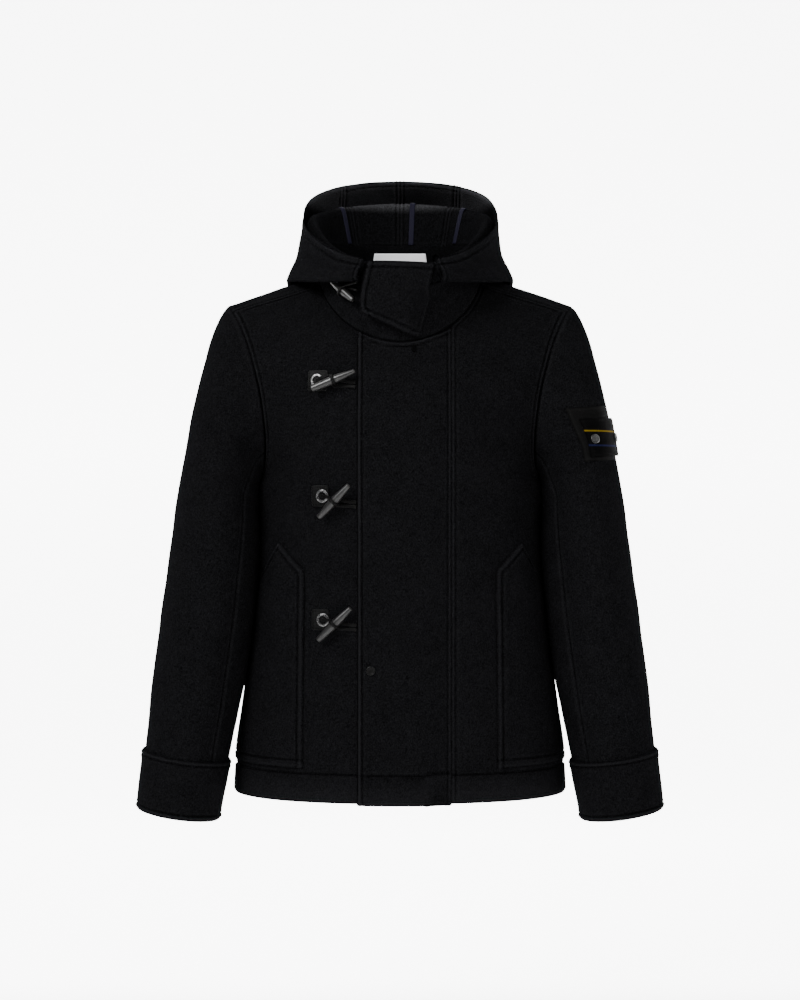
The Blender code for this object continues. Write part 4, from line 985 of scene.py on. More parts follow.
# %% Pockets
POCKET_WALL, POCKET_INNER, POCKET_EASE, SIDE_MARGIN = 0.0026, 0.126, 0.0005, 0.005
POCKET_STITCH, POCKET_FOOT_STITCH = 0.0078, 0.0106
POCKET = (  # height, girth of the inner edge, share of the way from there to its outer edge, bulge
    (-0.628, POCKET_INNER, 1.0, 0.0),
    (-0.617, POCKET_INNER, 1.0, 0.0),
    (-0.560, POCKET_INNER, 1.0, 0.0015),
    (-0.500, POCKET_INNER, 1.0, 0.0030),
    (-0.450, POCKET_INNER, 1.0, 0.0040),
    (-0.412, POCKET_INNER, 1.0, 0.0055),
    (-0.392, POCKET_INNER, 0.83, 0.0050),
    (-0.376, POCKET_INNER, 0.66, 0.0040),
    (-0.358, 0.1465, 0.42, 0.0025),
    (-0.342, 0.1655, 0.10, 0.0),
)


def pocket_grid():
    """The pocket's face, from its foot up to its slanted mouth, which gapes a little."""
    table = np.array(POCKET)
    first, last = table[0, 0], table[-1, 0]
    grid = []
    for z in first + stops(last - first, marks(0.0064, POCKET_FOOT_STITCH), marks(), 0.0042):
        inner, share, bulge = (np.interp(z, table[:, 0], table[:, k]) for k in (1, 2, 3))
        width = (front_side_girth(z) - SIDE_MARGIN - inner) * share
        row = []
        for reach in stops(width, marks(POCKET_STITCH), marks(POCKET_STITCH), most=18):
            puff = bulge * math.sin(math.pi * min(reach / width, 1) ** 0.8) ** 2
            row.append(front_at_girth(inner + reach, z, POCKET_WALL + LAYER_GAP + POCKET_EASE + puff))
        grid.append(row)
    return np.array(grid)


flat_pocket = pocket_grid()
edges = {"start": (0.0013, POCKET_STITCH), "end": (0.0013, POCKET_STITCH)}
edges |= {"head": (0.0013,), "foot": (0.0013, POCKET_FOOT_STITCH)}
looks = {"wall": POCKET_WALL, "held": "laid"}
pockets = {side: sewn(f"pocket_{word}", flat_pocket, edges, side=side, **looks) for side, word in SIDES}
print("pockets are on")

# %% [markdown]
# ## Hood, neckband and throat flap
# The hood lies back: it rises from the neckband, turns over behind the neck, and hangs as a soft bag. Its side
# pieces and back pieces meet in three seams. Bound seams show on its inside, as narrow tapes.

# %% Hood
HOOD_SEAM = back_neck_angle(0.75)
HOOD_STITCH, HOOD_SEAM_STITCH = 0.0105, 0.005  # distances from its free edge, and from its seams
HOOD_FOLDS = (
    ((0.122, 0.040, 0.090), (0.075, -0.098, 0.030), 0.008, 0.0030),
    ((-0.122, 0.040, 0.090), (-0.075, -0.098, 0.030), 0.008, 0.0030),
    ((0.060, 0.020, 0.095), (0.115, 0.060, 0.090), 0.010, 0.0030),
    ((-0.065, 0.020, 0.095), (-0.118, 0.055, 0.088), 0.010, 0.0026),
    ((0.040, 0.205, 0.040), (0.130, 0.110, 0.060), 0.014, 0.0032),
    ((-0.035, 0.205, 0.035), (-0.125, 0.115, 0.055), 0.014, 0.0030),
    ((0.0, 0.225, -0.020), (0.070, 0.190, -0.060), 0.014, -0.0026),
)


def hood_grid(start, end):
    """One piece of the hood, between two angles round the neck."""
    rows = np.linspace(0, 10, 401)
    run = lengths(np.array([hood_point(row, (start + end) / 2) for row in rows]))
    beside_seam, columns = marks(HOOD_SEAM_STITCH), int(10 + (end - start) / 3.2)
    grid = []
    for row in np.interp(stops(run[-1], marks(), marks(HOOD_STITCH), 0.0045), run, rows):
        line = hood_point(row, np.linspace(start, end, 61))
        grid.append(at_length(line, stops(lengths(line)[-1], beside_seam, beside_seam, most=columns)))
    return np.array(grid)


names = ("hood_side_left", "hood_back_left", "hood_back_right", "hood_side_right")
ends = (HOOD_START, HOOD_SEAM, 180.0, 360 - HOOD_SEAM, 360.0 - HOOD_START)
hoods = {}
for name, start, end in zip(names, ends, ends[1:]):
    grid = hood_grid(start, end)
    edges = {"start": (0.0011, HOOD_SEAM_STITCH), "end": (0.0011, HOOD_SEAM_STITCH)}
    edges |= {"foot": (0.0010,), "head": (0.0014, HOOD_STITCH)}
    lining = pressed(grid, seams_of(grid, edges), (), 0.0004)
    # the hood's inner face takes the wool copy with painted shade, and painted light inside its rim
    piece = sewn(name, grid, edges, HOOD_FOLDS, 0.0009, held="folded", inside=wool_painted_shade_and_light, back=lining)
    hoods[name] = (piece, grid)

shares, angles = stops(1.0, [0.0, 0.03, 0.07], [0.0, 0.03, 0.07], most=10), np.linspace(0.3, 359.7, 183)
neckband_grid = np.array([[neckband_point(share, angle) for angle in angles] for share in shares])
# the neckband's inner face takes the wool copy with painted shade
sewn("neckband", neckband_grid, {"foot": (0.0010,), "head": (0.0010,)}, inside=wool_painted_shade_and_light)
print("hood", len(hoods), "pieces")

# %% Throat flap
FLAP_STITCH, FLAP_FOOT_STITCH, FLAP_FRONT_MARK = 0.0078, 0.0075, 0.0062
FLAP_ROWS = (0.014, 0.019)  # the cloth's length between two rows of the flap's table, at its foot and its head
foot_marks, head_marks = (np.array(marks(at)) / high for at, high in zip((FLAP_FOOT_STITCH, FLAP_STITCH), FLAP_ROWS))
flap_grid = []
for row in stops(5.0, foot_marks, head_marks, most=20):
    line = np.array([flap_point(row, share) for share in np.linspace(0, 1, 61)])
    flap_grid.append(at_length(line, stops(lengths(line)[-1], marks(FLAP_FRONT_MARK), marks(FLAP_STITCH), most=22)))
flap_grid = np.array(flap_grid)
edges = {"start": (0.0012,), "end": (0.0013, FLAP_STITCH)}
edges |= {"foot": (0.0012, FLAP_FOOT_STITCH), "head": (0.0013, FLAP_STITCH)}
flap = sewn("throat_flap", flap_grid, edges, held="laid")
print("throat flap", len(flap.data.polygons), "faces")

# %% [markdown]
# ## Stitches
# A drawn line would look printed. Each stitch here is a short thread that dips into the cloth at both ends. Geometry
# Nodes repeats one stitch along curves, so thousands of them cost one small tree and one object.

# %% Rows of stitches
STITCH_STEP, STITCH_LENGTH, THREAD = 0.0034, 0.0028, 0.00055
GUIDE_STEP = 0.006  # between the points of a row's guide
STITCH_SIDES, STITCH_RINGS = 6, 4
LIP_DEPTH = 0.006  # the hood's inner face lies less than this behind its outer one
thread_rows = {"wool": [], "leather": []}


def face_tree(piece):
    return BVHTree.FromPolygons([v.co for v in piece.data.vertices], [f.vertices[:] for f in piece.data.polygons])


def beside(piece, line, inside, at, side=1, start=0.0, end=1.0, through=0.0):
    """A row of stitches on a piece, at a distance from one of its edges, towards its inside."""
    tree = face_tree(piece)
    run = lengths(line)
    count = max(3, int(run[-1] * (end - start) / GUIDE_STEP))
    where = np.linspace(run[-1] * start, run[-1] * end, count)
    edge, within = at_length(line, where), at_length(inside, where * lengths(inside)[-1] / run[-1])
    along = unit(np.gradient(edge, axis=0))
    towards = within - edge
    towards = unit(towards - np.sum(towards * along, axis=1)[:, None] * along)
    points = []
    for point in mirrored(edge + towards * at, side):
        place, normal = tree.find_nearest([float(v) for v in point])[:2]
        if through:
            place = tree.find_nearest(place - normal * through)[0]
        points.append(np.array(place))
    thread_rows["wool"].append(points)


def rows_of(grid):
    """The four edges of a grid, each with the line beside it towards the inside."""
    reach = 6
    return {
        "start": (grid[:, 0], grid[:, reach]),
        "end": (grid[:, -1], grid[:, -1 - reach]),
        "foot": (grid[0], grid[reach]),
        "head": (grid[-1], grid[-1 - reach]),
    }


def stitch(piece, grid, edge, at, **part):
    beside(piece, *rows_of(grid)[edge], at, **part)


for piece, grid, side in ((left_front, left_grid, 1), (right_front, right_grid, -1), (back, spine_grid, 1)):
    stitch(piece, grid, "foot", HEM_FOLD, side=side)
stitch(left_front, left_grid, "start", EDGE_STITCH, end=0.80)
for piece, grid, side in ((left_front, left_grid, 1), (right_front, right_grid, -1)):
    stitch(piece, grid, "end", SHOULDER_STITCH, side=side, start=0.50)
stitch(placket, band_grid, "start", PLACKET_STITCH)
stitch(placket, band_grid, "end", EDGE_STITCH)
stitch(placket, band_grid, "foot", PLACKET_HEM)
stitch(placket, band_grid, "head", PLACKET_STITCH, end=0.62)
for side in (1, -1):
    for edge, at in (("start", POCKET_STITCH), ("end", POCKET_STITCH), ("foot", POCKET_FOOT_STITCH)):
        stitch(pockets[side], flat_pocket, edge, at, side=side)
    for ring, inside, at in zip(cuff_ends, (ring_grid[6], ring_grid[-7]), CUFF_STITCHES):
        beside(cuffs[side], ring, np.vstack([inside, inside[:1]]), at, side)
for piece, grid in hoods.values():
    stitch(piece, grid, "head", HOOD_STITCH)
    stitch(piece, grid, "head", HOOD_STITCH, through=LIP_DEPTH)
    stitch(piece, grid, "start", HOOD_SEAM_STITCH)
    stitch(piece, grid, "end", HOOD_SEAM_STITCH)
for edge, at in (("end", FLAP_STITCH), ("head", FLAP_STITCH), ("foot", FLAP_FOOT_STITCH)):
    stitch(flap, flap_grid, edge, at)


def stitch_tree(thread_finish):
    """Geometry Nodes that lay one stitch again and again along curves."""
    tree = bpy.data.node_groups.new("stitch_rows", "GeometryNodeTree")
    face = tree.interface
    face.new_socket("Rows", in_out="INPUT", socket_type="NodeSocketGeometry")
    for label, value in (("Step", STITCH_STEP), ("Stitch length", STITCH_LENGTH), ("Thread", THREAD)):
        face.new_socket(label, in_out="INPUT", socket_type="NodeSocketFloat").default_value = value
    face.new_socket("Stitches", in_out="OUTPUT", socket_type="NodeSocketGeometry")

    def add(kind, sockets=None, **settings):
        return add_node(tree, kind, settings, sockets)

    given = add("NodeGroupInput").outputs
    half = {label: add("ShaderNodeMath", {0: given[label], 1: 0.5}, operation="MULTIPLY").outputs[0]
            for label in ("Thread", "Stitch length")}
    size = add("ShaderNodeCombineXYZ", {"X": half["Thread"], "Y": half["Thread"], "Z": half["Stitch length"]})
    ball = add("GeometryNodeMeshUVSphere", {"Segments": STITCH_SIDES, "Rings": STITCH_RINGS, "Radius": 1.0})
    shape = add("GeometryNodeTransform", {"Geometry": ball.outputs["Mesh"], "Scale": size.outputs[0]})
    points = add("GeometryNodeCurveToPoints", {"Curve": given["Rows"]}, mode="LENGTH")
    tree.links.new(given["Step"], points.inputs["Length"])
    laid = {"Points": points.outputs["Points"], "Rotation": points.outputs["Rotation"]}
    repeat = add("GeometryNodeInstanceOnPoints", {**laid, "Instance": shape.outputs["Geometry"]})
    real = add("GeometryNodeRealizeInstances", {"Geometry": repeat.outputs["Instances"]})
    paint = add("GeometryNodeSetMaterial", {"Geometry": real.outputs["Geometry"], "Material": thread_finish})
    add("NodeGroupOutput", {"Stitches": paint.outputs["Geometry"]})
    return tree


def sewn_rows(name, rows, tree):
    """A plain mesh of the stitches along those rows."""
    guide = bpy.data.curves.new(name, "CURVE")
    guide.dimensions = "3D"
    for row in rows:
        spline = guide.splines.new("POLY")
        spline.points.add(len(row) - 1)
        for point, place in zip(spline.points, row):
            point.co = (*place, 1)
    source = placed(name, guide)
    repeat = source.modifiers.new("stitches", "NODES")
    repeat.node_group = tree
    named = {item.name: item.identifier for item in tree.interface.items_tree if item.in_out == "INPUT"}
    repeat[named["Step"]] = STITCH_STEP
    ready = source.evaluated_get(bpy.context.evaluated_depsgraph_get())
    data = bpy.data.meshes.new_from_object(ready)
    bpy.data.objects.remove(source)
    data.shade_smooth()
    made = placed(name, data)
    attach(made, "root")
    return made


thread = grained("black_thread", (900,), (grey(0.0004), grey(0.0012, 1.1)), Roughness=0.8, Specular_IOR_Level=0.02)
seam_tree = stitch_tree(thread)
seams_made = sewn_rows("topstitching", thread_rows["wool"], seam_tree)
print("stitches", len(seams_made.data.polygons) // (STITCH_SIDES * STITCH_RINGS))

# %% [markdown]
# ## Leather, horn and metal
# Satin horn shows fine streaks along it and a soft highlight. Leather has pores and a dull shine. The metal is
# blackened, rubbed bright at its edges; here noise moves it between dark and paler grey, not by its edges. These are
# small, so each needs just one or two scales of detail.

# %% Finishes of the trim
leather = grained("black_leather_grain", (160,), (grey(0.0009), grey(0.0030)), (0.35, 0.7), (0.22, 0.38),
                  (0.0004, 0.6), (1500, 3.0), Roughness=0.5, Specular_IOR_Level=0.06)
horn = grained("black_horn_satin", (420, 3.0, (1, 1, 0.12), (0, 0.7, 0)), (grey(0.0035), (0.014, 0.0136, 0.013, 1)),
               (0.35, 0.75), (0.14, 0.24), (0.0002, 0.35), Roughness=0.3, Specular_IOR_Level=0.42)
metal = grained("dark_metal_rubbed", (700, 3.0), (grey(0.04), grey(0.26)), (0.4, 0.7), (0.25, 0.2),
                Metallic=1.0, Roughness=0.3)
snap_metal = grained("snap_metal", (900,), (grey(0.005), grey(0.014)), rough=(0.2, 0.34),
                     Metallic=1.0, Roughness=0.42)
satin = grained("white_satin_weave", (2200, 1.0, (1, 1, 0.2)), ((0.80, 0.80, 0.82, 1), (0.95, 0.95, 0.96, 1)),
                relief=(0.0002, 0.4), Roughness=0.45, Sheen_Weight=0.2)
tape = grained("navy_tape_weave", (1400, 1.0, (1, 1, 0.3)), ((0.0028, 0.0026, 0.0058, 1), (0.008, 0.0074, 0.018, 1)),
               relief=(0.0003, 0.5), Roughness=0.7, Specular_IOR_Level=0.08)
print("trim finishes:", leather.name, horn.name, metal.name)

# %% Shapes of the trim
CORD_SQUARENESS = 0.55  # a power of the cosine and sine: 1 gives an oval cord, and 0 a square one


def numbered(count, around, first=0):
    """Rings of points, by number, where the points are listed one ring after another."""
    return [list(range(first + r * around, first + (r + 1) * around)) for r in range(count)]


def walls(rings):
    """Faces between each ring and the next. A ring can also be one point again and again."""
    faces = []
    for low, high in zip(rings, rings[1:]):
        for quad in zip(low, low[1:] + low[:1], high[1:] + high[:1], high):
            faces.append(tuple(dict.fromkeys(quad)))
    return faces


def turned(name, profile, centre, axis, finish, slot, replaced=(), segments=40):
    """A round piece from (radius, height) pairs along an axis. A closed profile makes a ring."""
    axis = unit(axis)
    side = unit(np.cross(axis, UP if abs(axis[2]) < 0.9 else (1, 0, 0)))
    other = np.cross(axis, side)
    turns = np.arange(segments)[:, None] * (2 * math.pi / segments)
    ways = side * np.cos(turns) + other * np.sin(turns)
    points, rings = [], []
    for radius, height in profile:
        around = segments if radius else 1
        rings.append(numbered(1, around, len(points))[0] * (segments // around))
        points += list(centre + ways[:around] * radius + axis * height)
    closed = profile[0][0] > 0
    return finished(name, points, walls(rings + rings[:closed]), finish, replaced, crease=35)


def swept(name, path, outward, wide, thick, finish, slot, replaced=(), sides=12):
    """A flat cord along a path. Its flat side faces outward."""
    points = []
    for place, way, out in zip(path, unit(np.gradient(path, axis=0)), outward):
        across = unit(np.cross(out, way))
        up = np.cross(way, across)
        for turn in 2 * math.pi * (np.arange(sides) + 0.5) / sides:
            flat, high = (math.copysign(abs(v) ** CORD_SQUARENESS, v) for v in (math.cos(turn), math.sin(turn)))
            points.append(place + across * wide / 2 * flat + up * thick / 2 * high)
    rings = numbered(len(path), sides)
    faces = [*walls(rings), tuple(reversed(rings[0])), tuple(rings[-1])]
    print("cord", name, round(float(lengths(path)[-1]) * 1000), "mm")
    return finished(name, points, faces, finish, replaced, crease=50)


def smooth_path(points, count):
    """A smooth line through a few points."""
    table = [(k, *p) for k, p in enumerate(points)]
    return np.array([between_rows(table, key) for key in np.linspace(0, len(points) - 1, count)])


class Spot:
    """A place on the coat with its own right, up and outward directions."""

    def __init__(self, place, outward):
        self.place = np.asarray(place, float)
        self.out = unit(outward)
        self.right = unit(np.cross(UP, self.out))
        self.up = np.cross(self.out, self.right)

    def at(self, right, up, out):
        return self.place + self.right * right + self.up * up + self.out * out


def plate(name, spot, width, height, corner, thick, lift, finish, slot, replaced=()):
    """A flat plate with rounded corners and a softened face."""
    outline = []
    for cx, cy, start in ((1, 1, 0), (-1, 1, 90), (-1, -1, 180), (1, -1, 270)):
        for turn in np.radians(range(start, start + 91, 15)):
            outline.append((cx * (width / 2 - corner) + corner * math.cos(turn),
                            cy * (height / 2 - corner) + corner * math.sin(turn)))
    points = []
    for shrink, rise in ((0, 0), (0, 0.6), (0.0002, 0.85), (0.0007, 1)):
        for x, y in outline:
            points.append(spot.at(x - math.copysign(shrink, x), y - math.copysign(shrink, y), lift + thick * rise))
    rings = numbered(4, len(outline))
    faces = [tuple(reversed(rings[0])), tuple(rings[-1]), *walls(rings)]
    return finished(name, points, faces, finish, replaced, crease=50)


print("trim shapes:", turned.__name__, swept.__name__, plate.__name__)

# %% Toggles
PATCH_HIGH, PATCH_THICK, PATCH_LIFT = 0.027, 0.0014, 0.0006
PATCH_STITCH = 0.0026  # its stitches' distance from its edge
SQUARE = ((-1, -1), (1, -1), (1, 1), (-1, 1), (-1, -1))
EYELET = ((0.0050, 0.0), (0.0082, 0.0), (0.0086, 0.0004), (0.0082, 0.0010), (0.0070, 0.0014), (0.0058, 0.0012))
CORD_WIDE, CORD_THICK = 0.0044, 0.0018
WAIST = 0.0058  # half thickness of a toggle at its waist
TOGGLE_RISE = 0.0104  # height of a toggle's middle over the front
CORD_TURN = WAIST + CORD_THICK / 2 + 0.0006  # the cord goes round the waist at this distance
# Middle x and z, length, lean from level in degrees, radius at the low and the high end, then the eyelet's
# place to the right of and above the middle, and the leather patch's middle and width.
TOGGLES = (
    (-0.0816, -0.1355, 0.060, 21.8, 0.0048, 0.0026, -0.0241, 0.0012, -0.0233, 0.0270),
    (-0.0806, -0.2870, 0.058, 45.0, 0.0037, 0.0031, -0.0175, 0.0062, -0.0210, 0.0240),
    (-0.0806, -0.4430, 0.060, 44.1, 0.0037, 0.0031, -0.0170, 0.0045, -0.0210, 0.0240),
)


def toggle_profile(length, low, high):
    """Radii of a toggle along its length, with flat-cut ends."""
    half = length / 2
    soft = 0.0008
    profile = [(0.0, -half), (low - soft, -half), (low, -half + soft)]
    for share in (-0.85, -0.7, -0.5, -0.3, -0.12, 0.12, 0.3, 0.5, 0.7, 0.85):
        end = low if share < 0 else high
        profile.append((WAIST + (end - WAIST) * abs(share) ** 1.3, share * half))
    return profile + [(high, half - soft), (high - soft, half), (0.0, half)]


def round_waist(middle, across, outward, start, end, count):
    """Points round a toggle's waist, by angles from the way across it towards the outward one."""
    turns = np.radians(np.linspace(start, end, count))[:, None]
    return middle + CORD_TURN * (np.cos(turns) * across + np.sin(turns) * outward)


def over_front(spot, right, up, rise):
    """A point that lies a little way off the front's face, to the right of and above a place on it."""
    x, z = spot.at(right, up, 0)[[0, 2]]
    return front_at_x(x, z) + front_out(x, z) * rise


# The cord's two strands from the placket's edge, and its turn under the toggle, to the right and up from there
PLACKET_LOOP = (
    (0.0262, -0.0020),
    (0.0160, -0.0010),
    (0.0060, 0.0008),
    (-0.0012, 0.0012),
    (-0.0034, -0.0024),
    (-0.0012, -0.0060),
    (0.0060, -0.0062),
    (0.0160, -0.0066),
    (0.0262, -0.0076),
)


def wound(ways, count):
    """The outward direction at each point of a path, from a few of them."""
    table = [(k, *way) for k, way in enumerate(ways)]
    return [unit(between_rows(table, key)) for key in np.linspace(0, len(ways) - 1, count)]


def toggle_set(number, x, z, length, lean, low, high, eyelet_right, eyelet_up, patch_right, patch_wide):
    lean = math.radians(lean)
    spot = Spot(front_at_x(x, z), front_out(x, z))
    along = spot.right * math.cos(lean) + spot.up * math.sin(lean)
    across = spot.right * math.sin(lean) - spot.up * math.cos(lean)
    middle = spot.at(0, 0, TOGGLE_RISE)
    made = ("black_horn", (f"toggle_{number}",))
    turned(f"toggle_{number}_horn", toggle_profile(length, low, high), middle, along, horn, *made)

    patch_x, patch_z = spot.at(patch_right, eyelet_up, 0)[[0, 2]]
    base = Spot(front_at_x(patch_x, patch_z), front_out(patch_x, patch_z))
    size = (patch_wide, PATCH_HIGH, 0.004, PATCH_THICK, PATCH_LIFT)
    made = ("black_leather", (f"toggle_patch_{number}",))
    patch = plate(f"toggle_{number}_leather", base, *size, leather, *made)
    seat, wide, high = PATCH_LIFT + PATCH_THICK, patch_wide / 2 - PATCH_STITCH, PATCH_HIGH / 2 - PATCH_STITCH
    rim = np.array([base.at(right * wide, up * high, seat) for right, up in SQUARE])
    thread_rows["leather"].append(at_length(rim, np.linspace(0, lengths(rim)[-1], 40)))

    seat += 0.0004
    ring = [(radius, seat + height) for radius, height in EYELET]
    eyelet = base.at(eyelet_right - patch_right, 0, 0)
    turned(f"eyelet_{number}_ring", ring, eyelet, base.out, metal, "dark_metal", (f"eyelet_{number}",))

    start = eyelet + base.out * (seat + CORD_THICK / 2 + 0.0002)
    turn = round_waist(middle, across, spot.out, 165, -40, 6)
    rise = start + (turn[0] - start) * 0.35 + spot.out * 0.0014
    path = smooth_path([start, rise, *turn], 40)
    outs = wound([spot.out, spot.out, *unit(turn - middle)], 40)
    looks = (CORD_WIDE, CORD_THICK, leather, "black_leather")
    swept(f"eyelet_{number}_strap", path, outs, *looks, (f"eyelet_cord_{number}",))

    rise = CORD_THICK / 2 + 0.0004
    path = smooth_path([over_front(spot, right, up, rise) for right, up in PLACKET_LOOP], 60)
    swept(f"placket_{number}_strap", path, [spot.out] * 60, *looks, (f"placket_cord_{number}",))


for number, toggle in enumerate(TOGGLES, 1):
    toggle_set(number, *toggle)

NECK_TOGGLE = ((-0.0870, -0.0810, -0.0060), (-0.0595, -0.1070, -0.0320))  # its upper and lower end
NECK_CORD_ENDS = ((-0.0545, -0.1230, -0.0113), (-0.0545, -0.1200, -0.0213))  # at the throat flap's edge
upper, lower = (np.array(end) for end in NECK_TOGGLE)
middle, along = (upper + lower) / 2, unit(lower - upper)
profile = toggle_profile(np.linalg.norm(lower - upper), 0.0034, 0.0034)
turned("toggle_neck_horn", profile, middle, along, horn, "black_horn", ("toggle_neck",))
outward = unit(np.cross(along, UP))
outward = outward if outward[1] < 0 else -outward
across = np.cross(along, outward)
across = across if across[0] > 0 else -across
turn = round_waist(middle, across, outward, 40, 320, 8)
path = smooth_path([np.array(NECK_CORD_ENDS[0]), *turn, np.array(NECK_CORD_ENDS[1])], 60)
outs = wound([unit(turn[0] - middle), *unit(turn - middle), unit(turn[-1] - middle)], 60)
looks = (CORD_WIDE * 0.8, CORD_THICK, leather, "black_leather", ("neck_cord",))
swept("neck_strap", path, outs, *looks)
sewn_rows("patch_stitching", thread_rows["leather"], seam_tree)
print("toggles", len(TOGGLES) + 1)

# %% Snap, arm tab, label and small pieces
SNAP_X, SNAP_Z = -0.0367, -0.502
SNAP_CAP = ((0, -0.0002), (0.0054, -0.0002), (0.0058, 0.0004), (0.0055, 0.0012), (0.0046, 0.0017), (0.0036, 0.0013),
            (0, 0.0010))
out = front_out(SNAP_X, SNAP_Z)
place = front_at_x(SNAP_X, SNAP_Z) + out * placket_lift(SNAP_X)
turned("snap_cap", SNAP_CAP, place, out, snap_metal, "dark_metal", ("snap",))

TAB_BUTTONS = ((-0.2085, 66.0), (-0.2050, 21.0))  # height and angle round the sleeve
TAB_BASE = (-0.168, -0.237, 84.0, 25.0)  # top and bottom, angles of its front and back edge
TAB = (-0.183, -0.232, 75.0, 12.0)
TAB_LEAN = 0.004
TAB_BASE_SEAT, TAB_BASE_WALL = 0.0007, 0.0015
TAB_SEAT, TAB_WALL = 0.0027, 0.0018
TAB_WIDTH, TAB_MARK = 0.07, 0.0035  # points stand close together up to the mark's distance from an edge
STRIPE_EDGE = 0.0004  # half the height over which a stripe begins or ends
BUTTON = ((0, 0.0), (0.0056, 0.0), (0.0061, 0.0006), (0.0061, 0.0012), (0.0056, 0.0018), (0.0044, 0.0016),
          (0.0036, 0.0009), (0, 0.0008))


def spot_on(surface, row, column, row_step, column_step):
    """A place on one of the coat's faces, found from its function of a row and a column."""
    across = surface(row, column + column_step) - surface(row, column - column_step)
    up = surface(row + row_step, column) - surface(row - row_step, column)
    return Spot(surface(row, column), np.cross(across, up))


ARM_STATIONS = np.linspace(1, 12, 111)


@functools.lru_cache(maxsize=None)
def arm_depths(angle):
    return [-sleeve_point(station, angle)[2] for station in ARM_STATIONS]


def sleeve_spot(z, angle):
    """A place on the sleeve at this height and angle."""
    station = np.interp(-z, arm_depths(angle), ARM_STATIONS)
    return spot_on(sleeve_point, station, angle, 0.05, 1.0)


def striped(name, base, stripes):
    """Canvas woven in plain stripes. A stripe is its lowest and highest point and its colour."""
    made = Finish(name, Roughness=0.8, Specular_IOR_Level=0.01)
    weave, height = made.noise(1700, 1.0, (1, 1, 0.35)), made.part("Z")
    # painted highlights on the tab's edge ridges and rim, and painted shade in its grooves, from the number the cloth
    # holds
    colour = made.mixed(weave + made.held("painted_shading") * 2.0, grey(base * 0.5), grey(base * 1.5))
    for *edges, tone in stripes:
        above_low, above_high = (height.within(edge - STRIPE_EDGE, edge + STRIPE_EDGE) for edge in edges)
        colour = made.mixed((above_low - above_high) * (weave * 0.4 + 0.6), colour, tone)
    made.feed("Base Color", colour)
    made.raise_by(weave, 0.0004, 0.6)
    return made.material


def sleeve_patch(name, area, seat, wall, finish):
    """A piece of canvas on the sleeve, between two heights and two angles."""
    top, bottom, front, back = area
    at_end = marks(TAB_MARK)
    at_side = np.array(at_end) / TAB_WIDTH
    shares = stops(1.0, at_side, at_side, most=16)
    grid = []
    for z in bottom + stops(top - bottom, at_end, at_end, 0.003):
        spots = [sleeve_spot(z + TAB_LEAN * share, front + (back - front) * share) for share in shares]
        grid.append([spot.at(0, 0, seat + wall) for spot in spots])
    edges = {edge: (0.0005,) for edge in ("start", "end", "foot", "head")}
    sewn(name, np.array(grid), edges, (), 0.0001, finish, slot="black_canvas", wall=wall, held="laid")


def tape_on(name, rows, finish, slot, wall):
    """A thin smooth cloth that lies on another."""
    grid = np.array(rows)
    cloth(name, grid, np.zeros((2, *grid.shape[:2])), finish, slot, wall=wall, held="laid")


OCHRE, NAVY = (0.10, 0.066, 0.003, 1), (0.005, 0.006, 0.022, 1)
plain_canvas = striped("black_canvas_weave", 0.0030, ())
striped_canvas = striped("striped_canvas_weave", 0.0014, ((-0.1980, -0.1960, OCHRE), (-0.2170, -0.2146, NAVY)))
sleeve_patch("arm_tab_base", TAB_BASE, TAB_BASE_SEAT, TAB_BASE_WALL, plain_canvas)
sleeve_patch("arm_tab", TAB, TAB_SEAT, TAB_WALL, striped_canvas)
for number, (z, angle) in enumerate(TAB_BUTTONS, 1):
    spot, seat = sleeve_spot(z, angle), TAB_SEAT + TAB_WALL + 0.0004
    face = [(radius, seat + height) for radius, height in BUTTON]
    made = ("black_horn", (f"arm_button_{number}",))
    turned(f"arm_button_{number}_horn", face, spot.place, spot.out, horn, *made)

LABEL_SHARES, LABEL_ANGLES = np.linspace(0.40, 0.76, 14), np.linspace(159, 201, 36)[::-1]
LABEL_SEAT, LABEL_WALL = -0.0044, 0.0006
rows = []
for share in LABEL_SHARES:
    spots = [spot_on(neckband_point, share, angle, 0.1, 3.0) for angle in LABEL_ANGLES]
    rows.append([spot.at(0, 0, LABEL_SEAT) for spot in spots])
tape_on("neck_label", rows, satin, "white_satin", LABEL_WALL)

HANGER_SHARE, HANGER_ANGLES, HANGER_SEAT = 0.62, (146, 154), -0.0046
ends = [spot_on(neckband_point, HANGER_SHARE, angle, 0.1, 3.0) for angle in HANGER_ANGLES]
low = [end.at(0, -0.006, HANGER_SEAT) for end in ends]
high = [end.at(0, 0.003, HANGER_SEAT - 0.001) for end in ends]
path = smooth_path([low[0], high[0], (high[0] + high[1]) / 2 + UP * 0.004, high[1], low[1]], 40)
# the hanger strip takes the wool copy with painted shade, to look darker than its light allows
swept("hanger_strip", path, [-ends[0].out] * 40, 0.0040, 0.0012, wool_painted_shade_and_light, "black_wool", ("hanger_loop",))

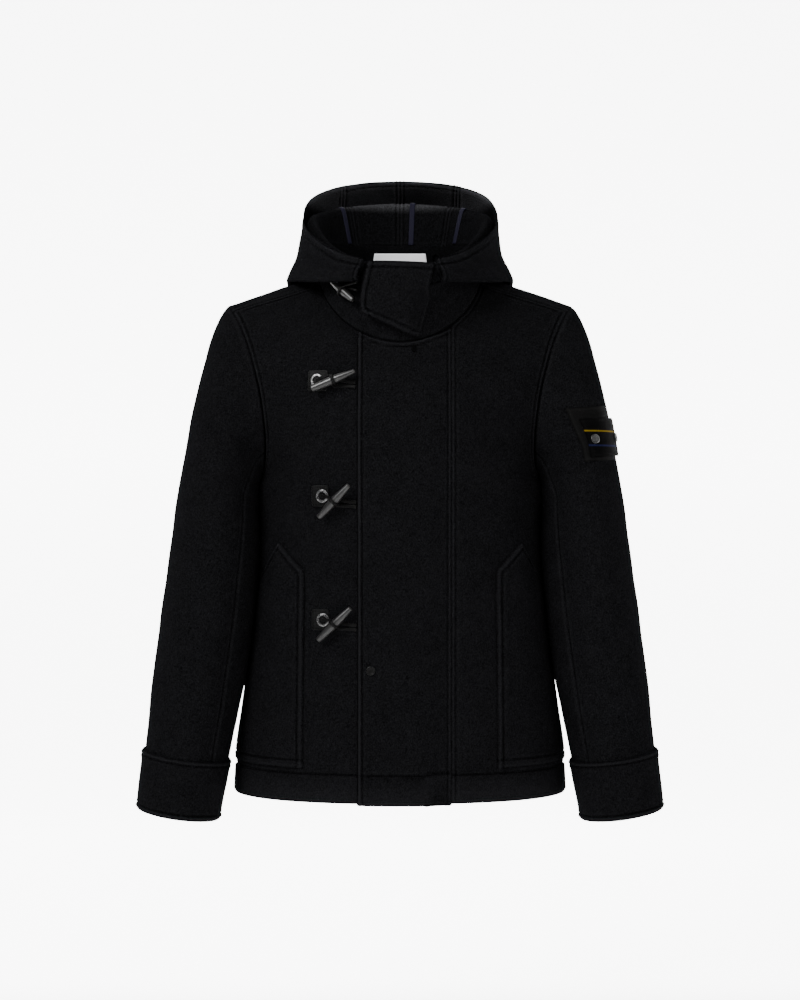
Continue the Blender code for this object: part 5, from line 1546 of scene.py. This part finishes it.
TAPES = ((130.0, 0.05, 1.08), (171.0, 0.02, 1.05), (225.0, 0.05, 1.08))  # angle, lowest and highest loop
TAPE_HALF, TAPE_LIFT, TAPE_WALL = 0.0034, 0.0010, 0.0007
for number, (angle, low, high) in enumerate(TAPES, 1):
    rows = []
    for loop in np.linspace(low, high, 24):
        reach = math.degrees(TAPE_HALF / between_rows(HOOD, loop)[0])
        spots = [spot_on(hood_point, loop, angle + reach * t, 0.05, 2.0) for t in (1, 0.6, 0.2, -0.2, -0.6, -1)]
        rows.append([spot.at(0, 0, -CLOTH - TAPE_LIFT) for spot in spots])
    tape_on(f"seam_tape_{number}", rows, tape, "black_canvas", TAPE_WALL)

TACK_X, TACK_Z = 0.0176, -0.0955
TACK_SIZE = (0.0055, 0.0090, 0.0022, 0.0016, 0.0004)  # width, height, corner, thickness, lift
out = front_out(TACK_X, TACK_Z)
spot = Spot(front_at_x(TACK_X, TACK_Z) + out * placket_lift(TACK_X), out)
plate("bar_tack_thread", spot, *TACK_SIZE, thread, "black_leather", ("bar_tack",))
print("arm tab, label and snap are on")

# %% [markdown]
# ## Backdrop
# A pale floor that rises behind into a wall, in one curve, so no line shows behind the coat.

# %% Cove
FLOOR_Z, FLOOR_FRONT, WALL_Y, WALL_TOP, COVE_RADIUS, HALF_SPAN = -1.05, -5.0, 2.6, 4.5, 0.9, 6.0
PAPER_TONE, WALL_LIGHT = 0.86, 6.0


def cove():
    bend = np.linspace(0, math.pi / 2, 17)
    across = WALL_Y - COVE_RADIUS + COVE_RADIUS * np.sin(bend)
    profile = [(FLOOR_FRONT, FLOOR_Z), *zip(across, FLOOR_Z + COVE_RADIUS * (1 - np.cos(bend))), (WALL_Y, WALL_TOP)]
    points = [(x, float(y), float(z)) for y, z in profile for x in (-HALF_SPAN, HALF_SPAN)]
    data = bpy.data.meshes.new("studio_cove")
    data.from_pydata(points, [], [(2 * k, 2 * k + 1, 2 * k + 3, 2 * k + 2) for k in range(len(profile) - 1)])
    data.shade_smooth()
    return placed("studio_cove", data)


backdrop = cove()
paper = Finish("pale_paper", Roughness=0.95, Base_Color=grey(PAPER_TONE), Emission_Strength=WALL_LIGHT)
paper.feed("Emission Color", paper.mixed(paper.part("Y").within(0.0, 0.5), grey(0.0), grey(1.0)))
backdrop.data.materials.append(paper.material)
print("floor at", FLOOR_Z)
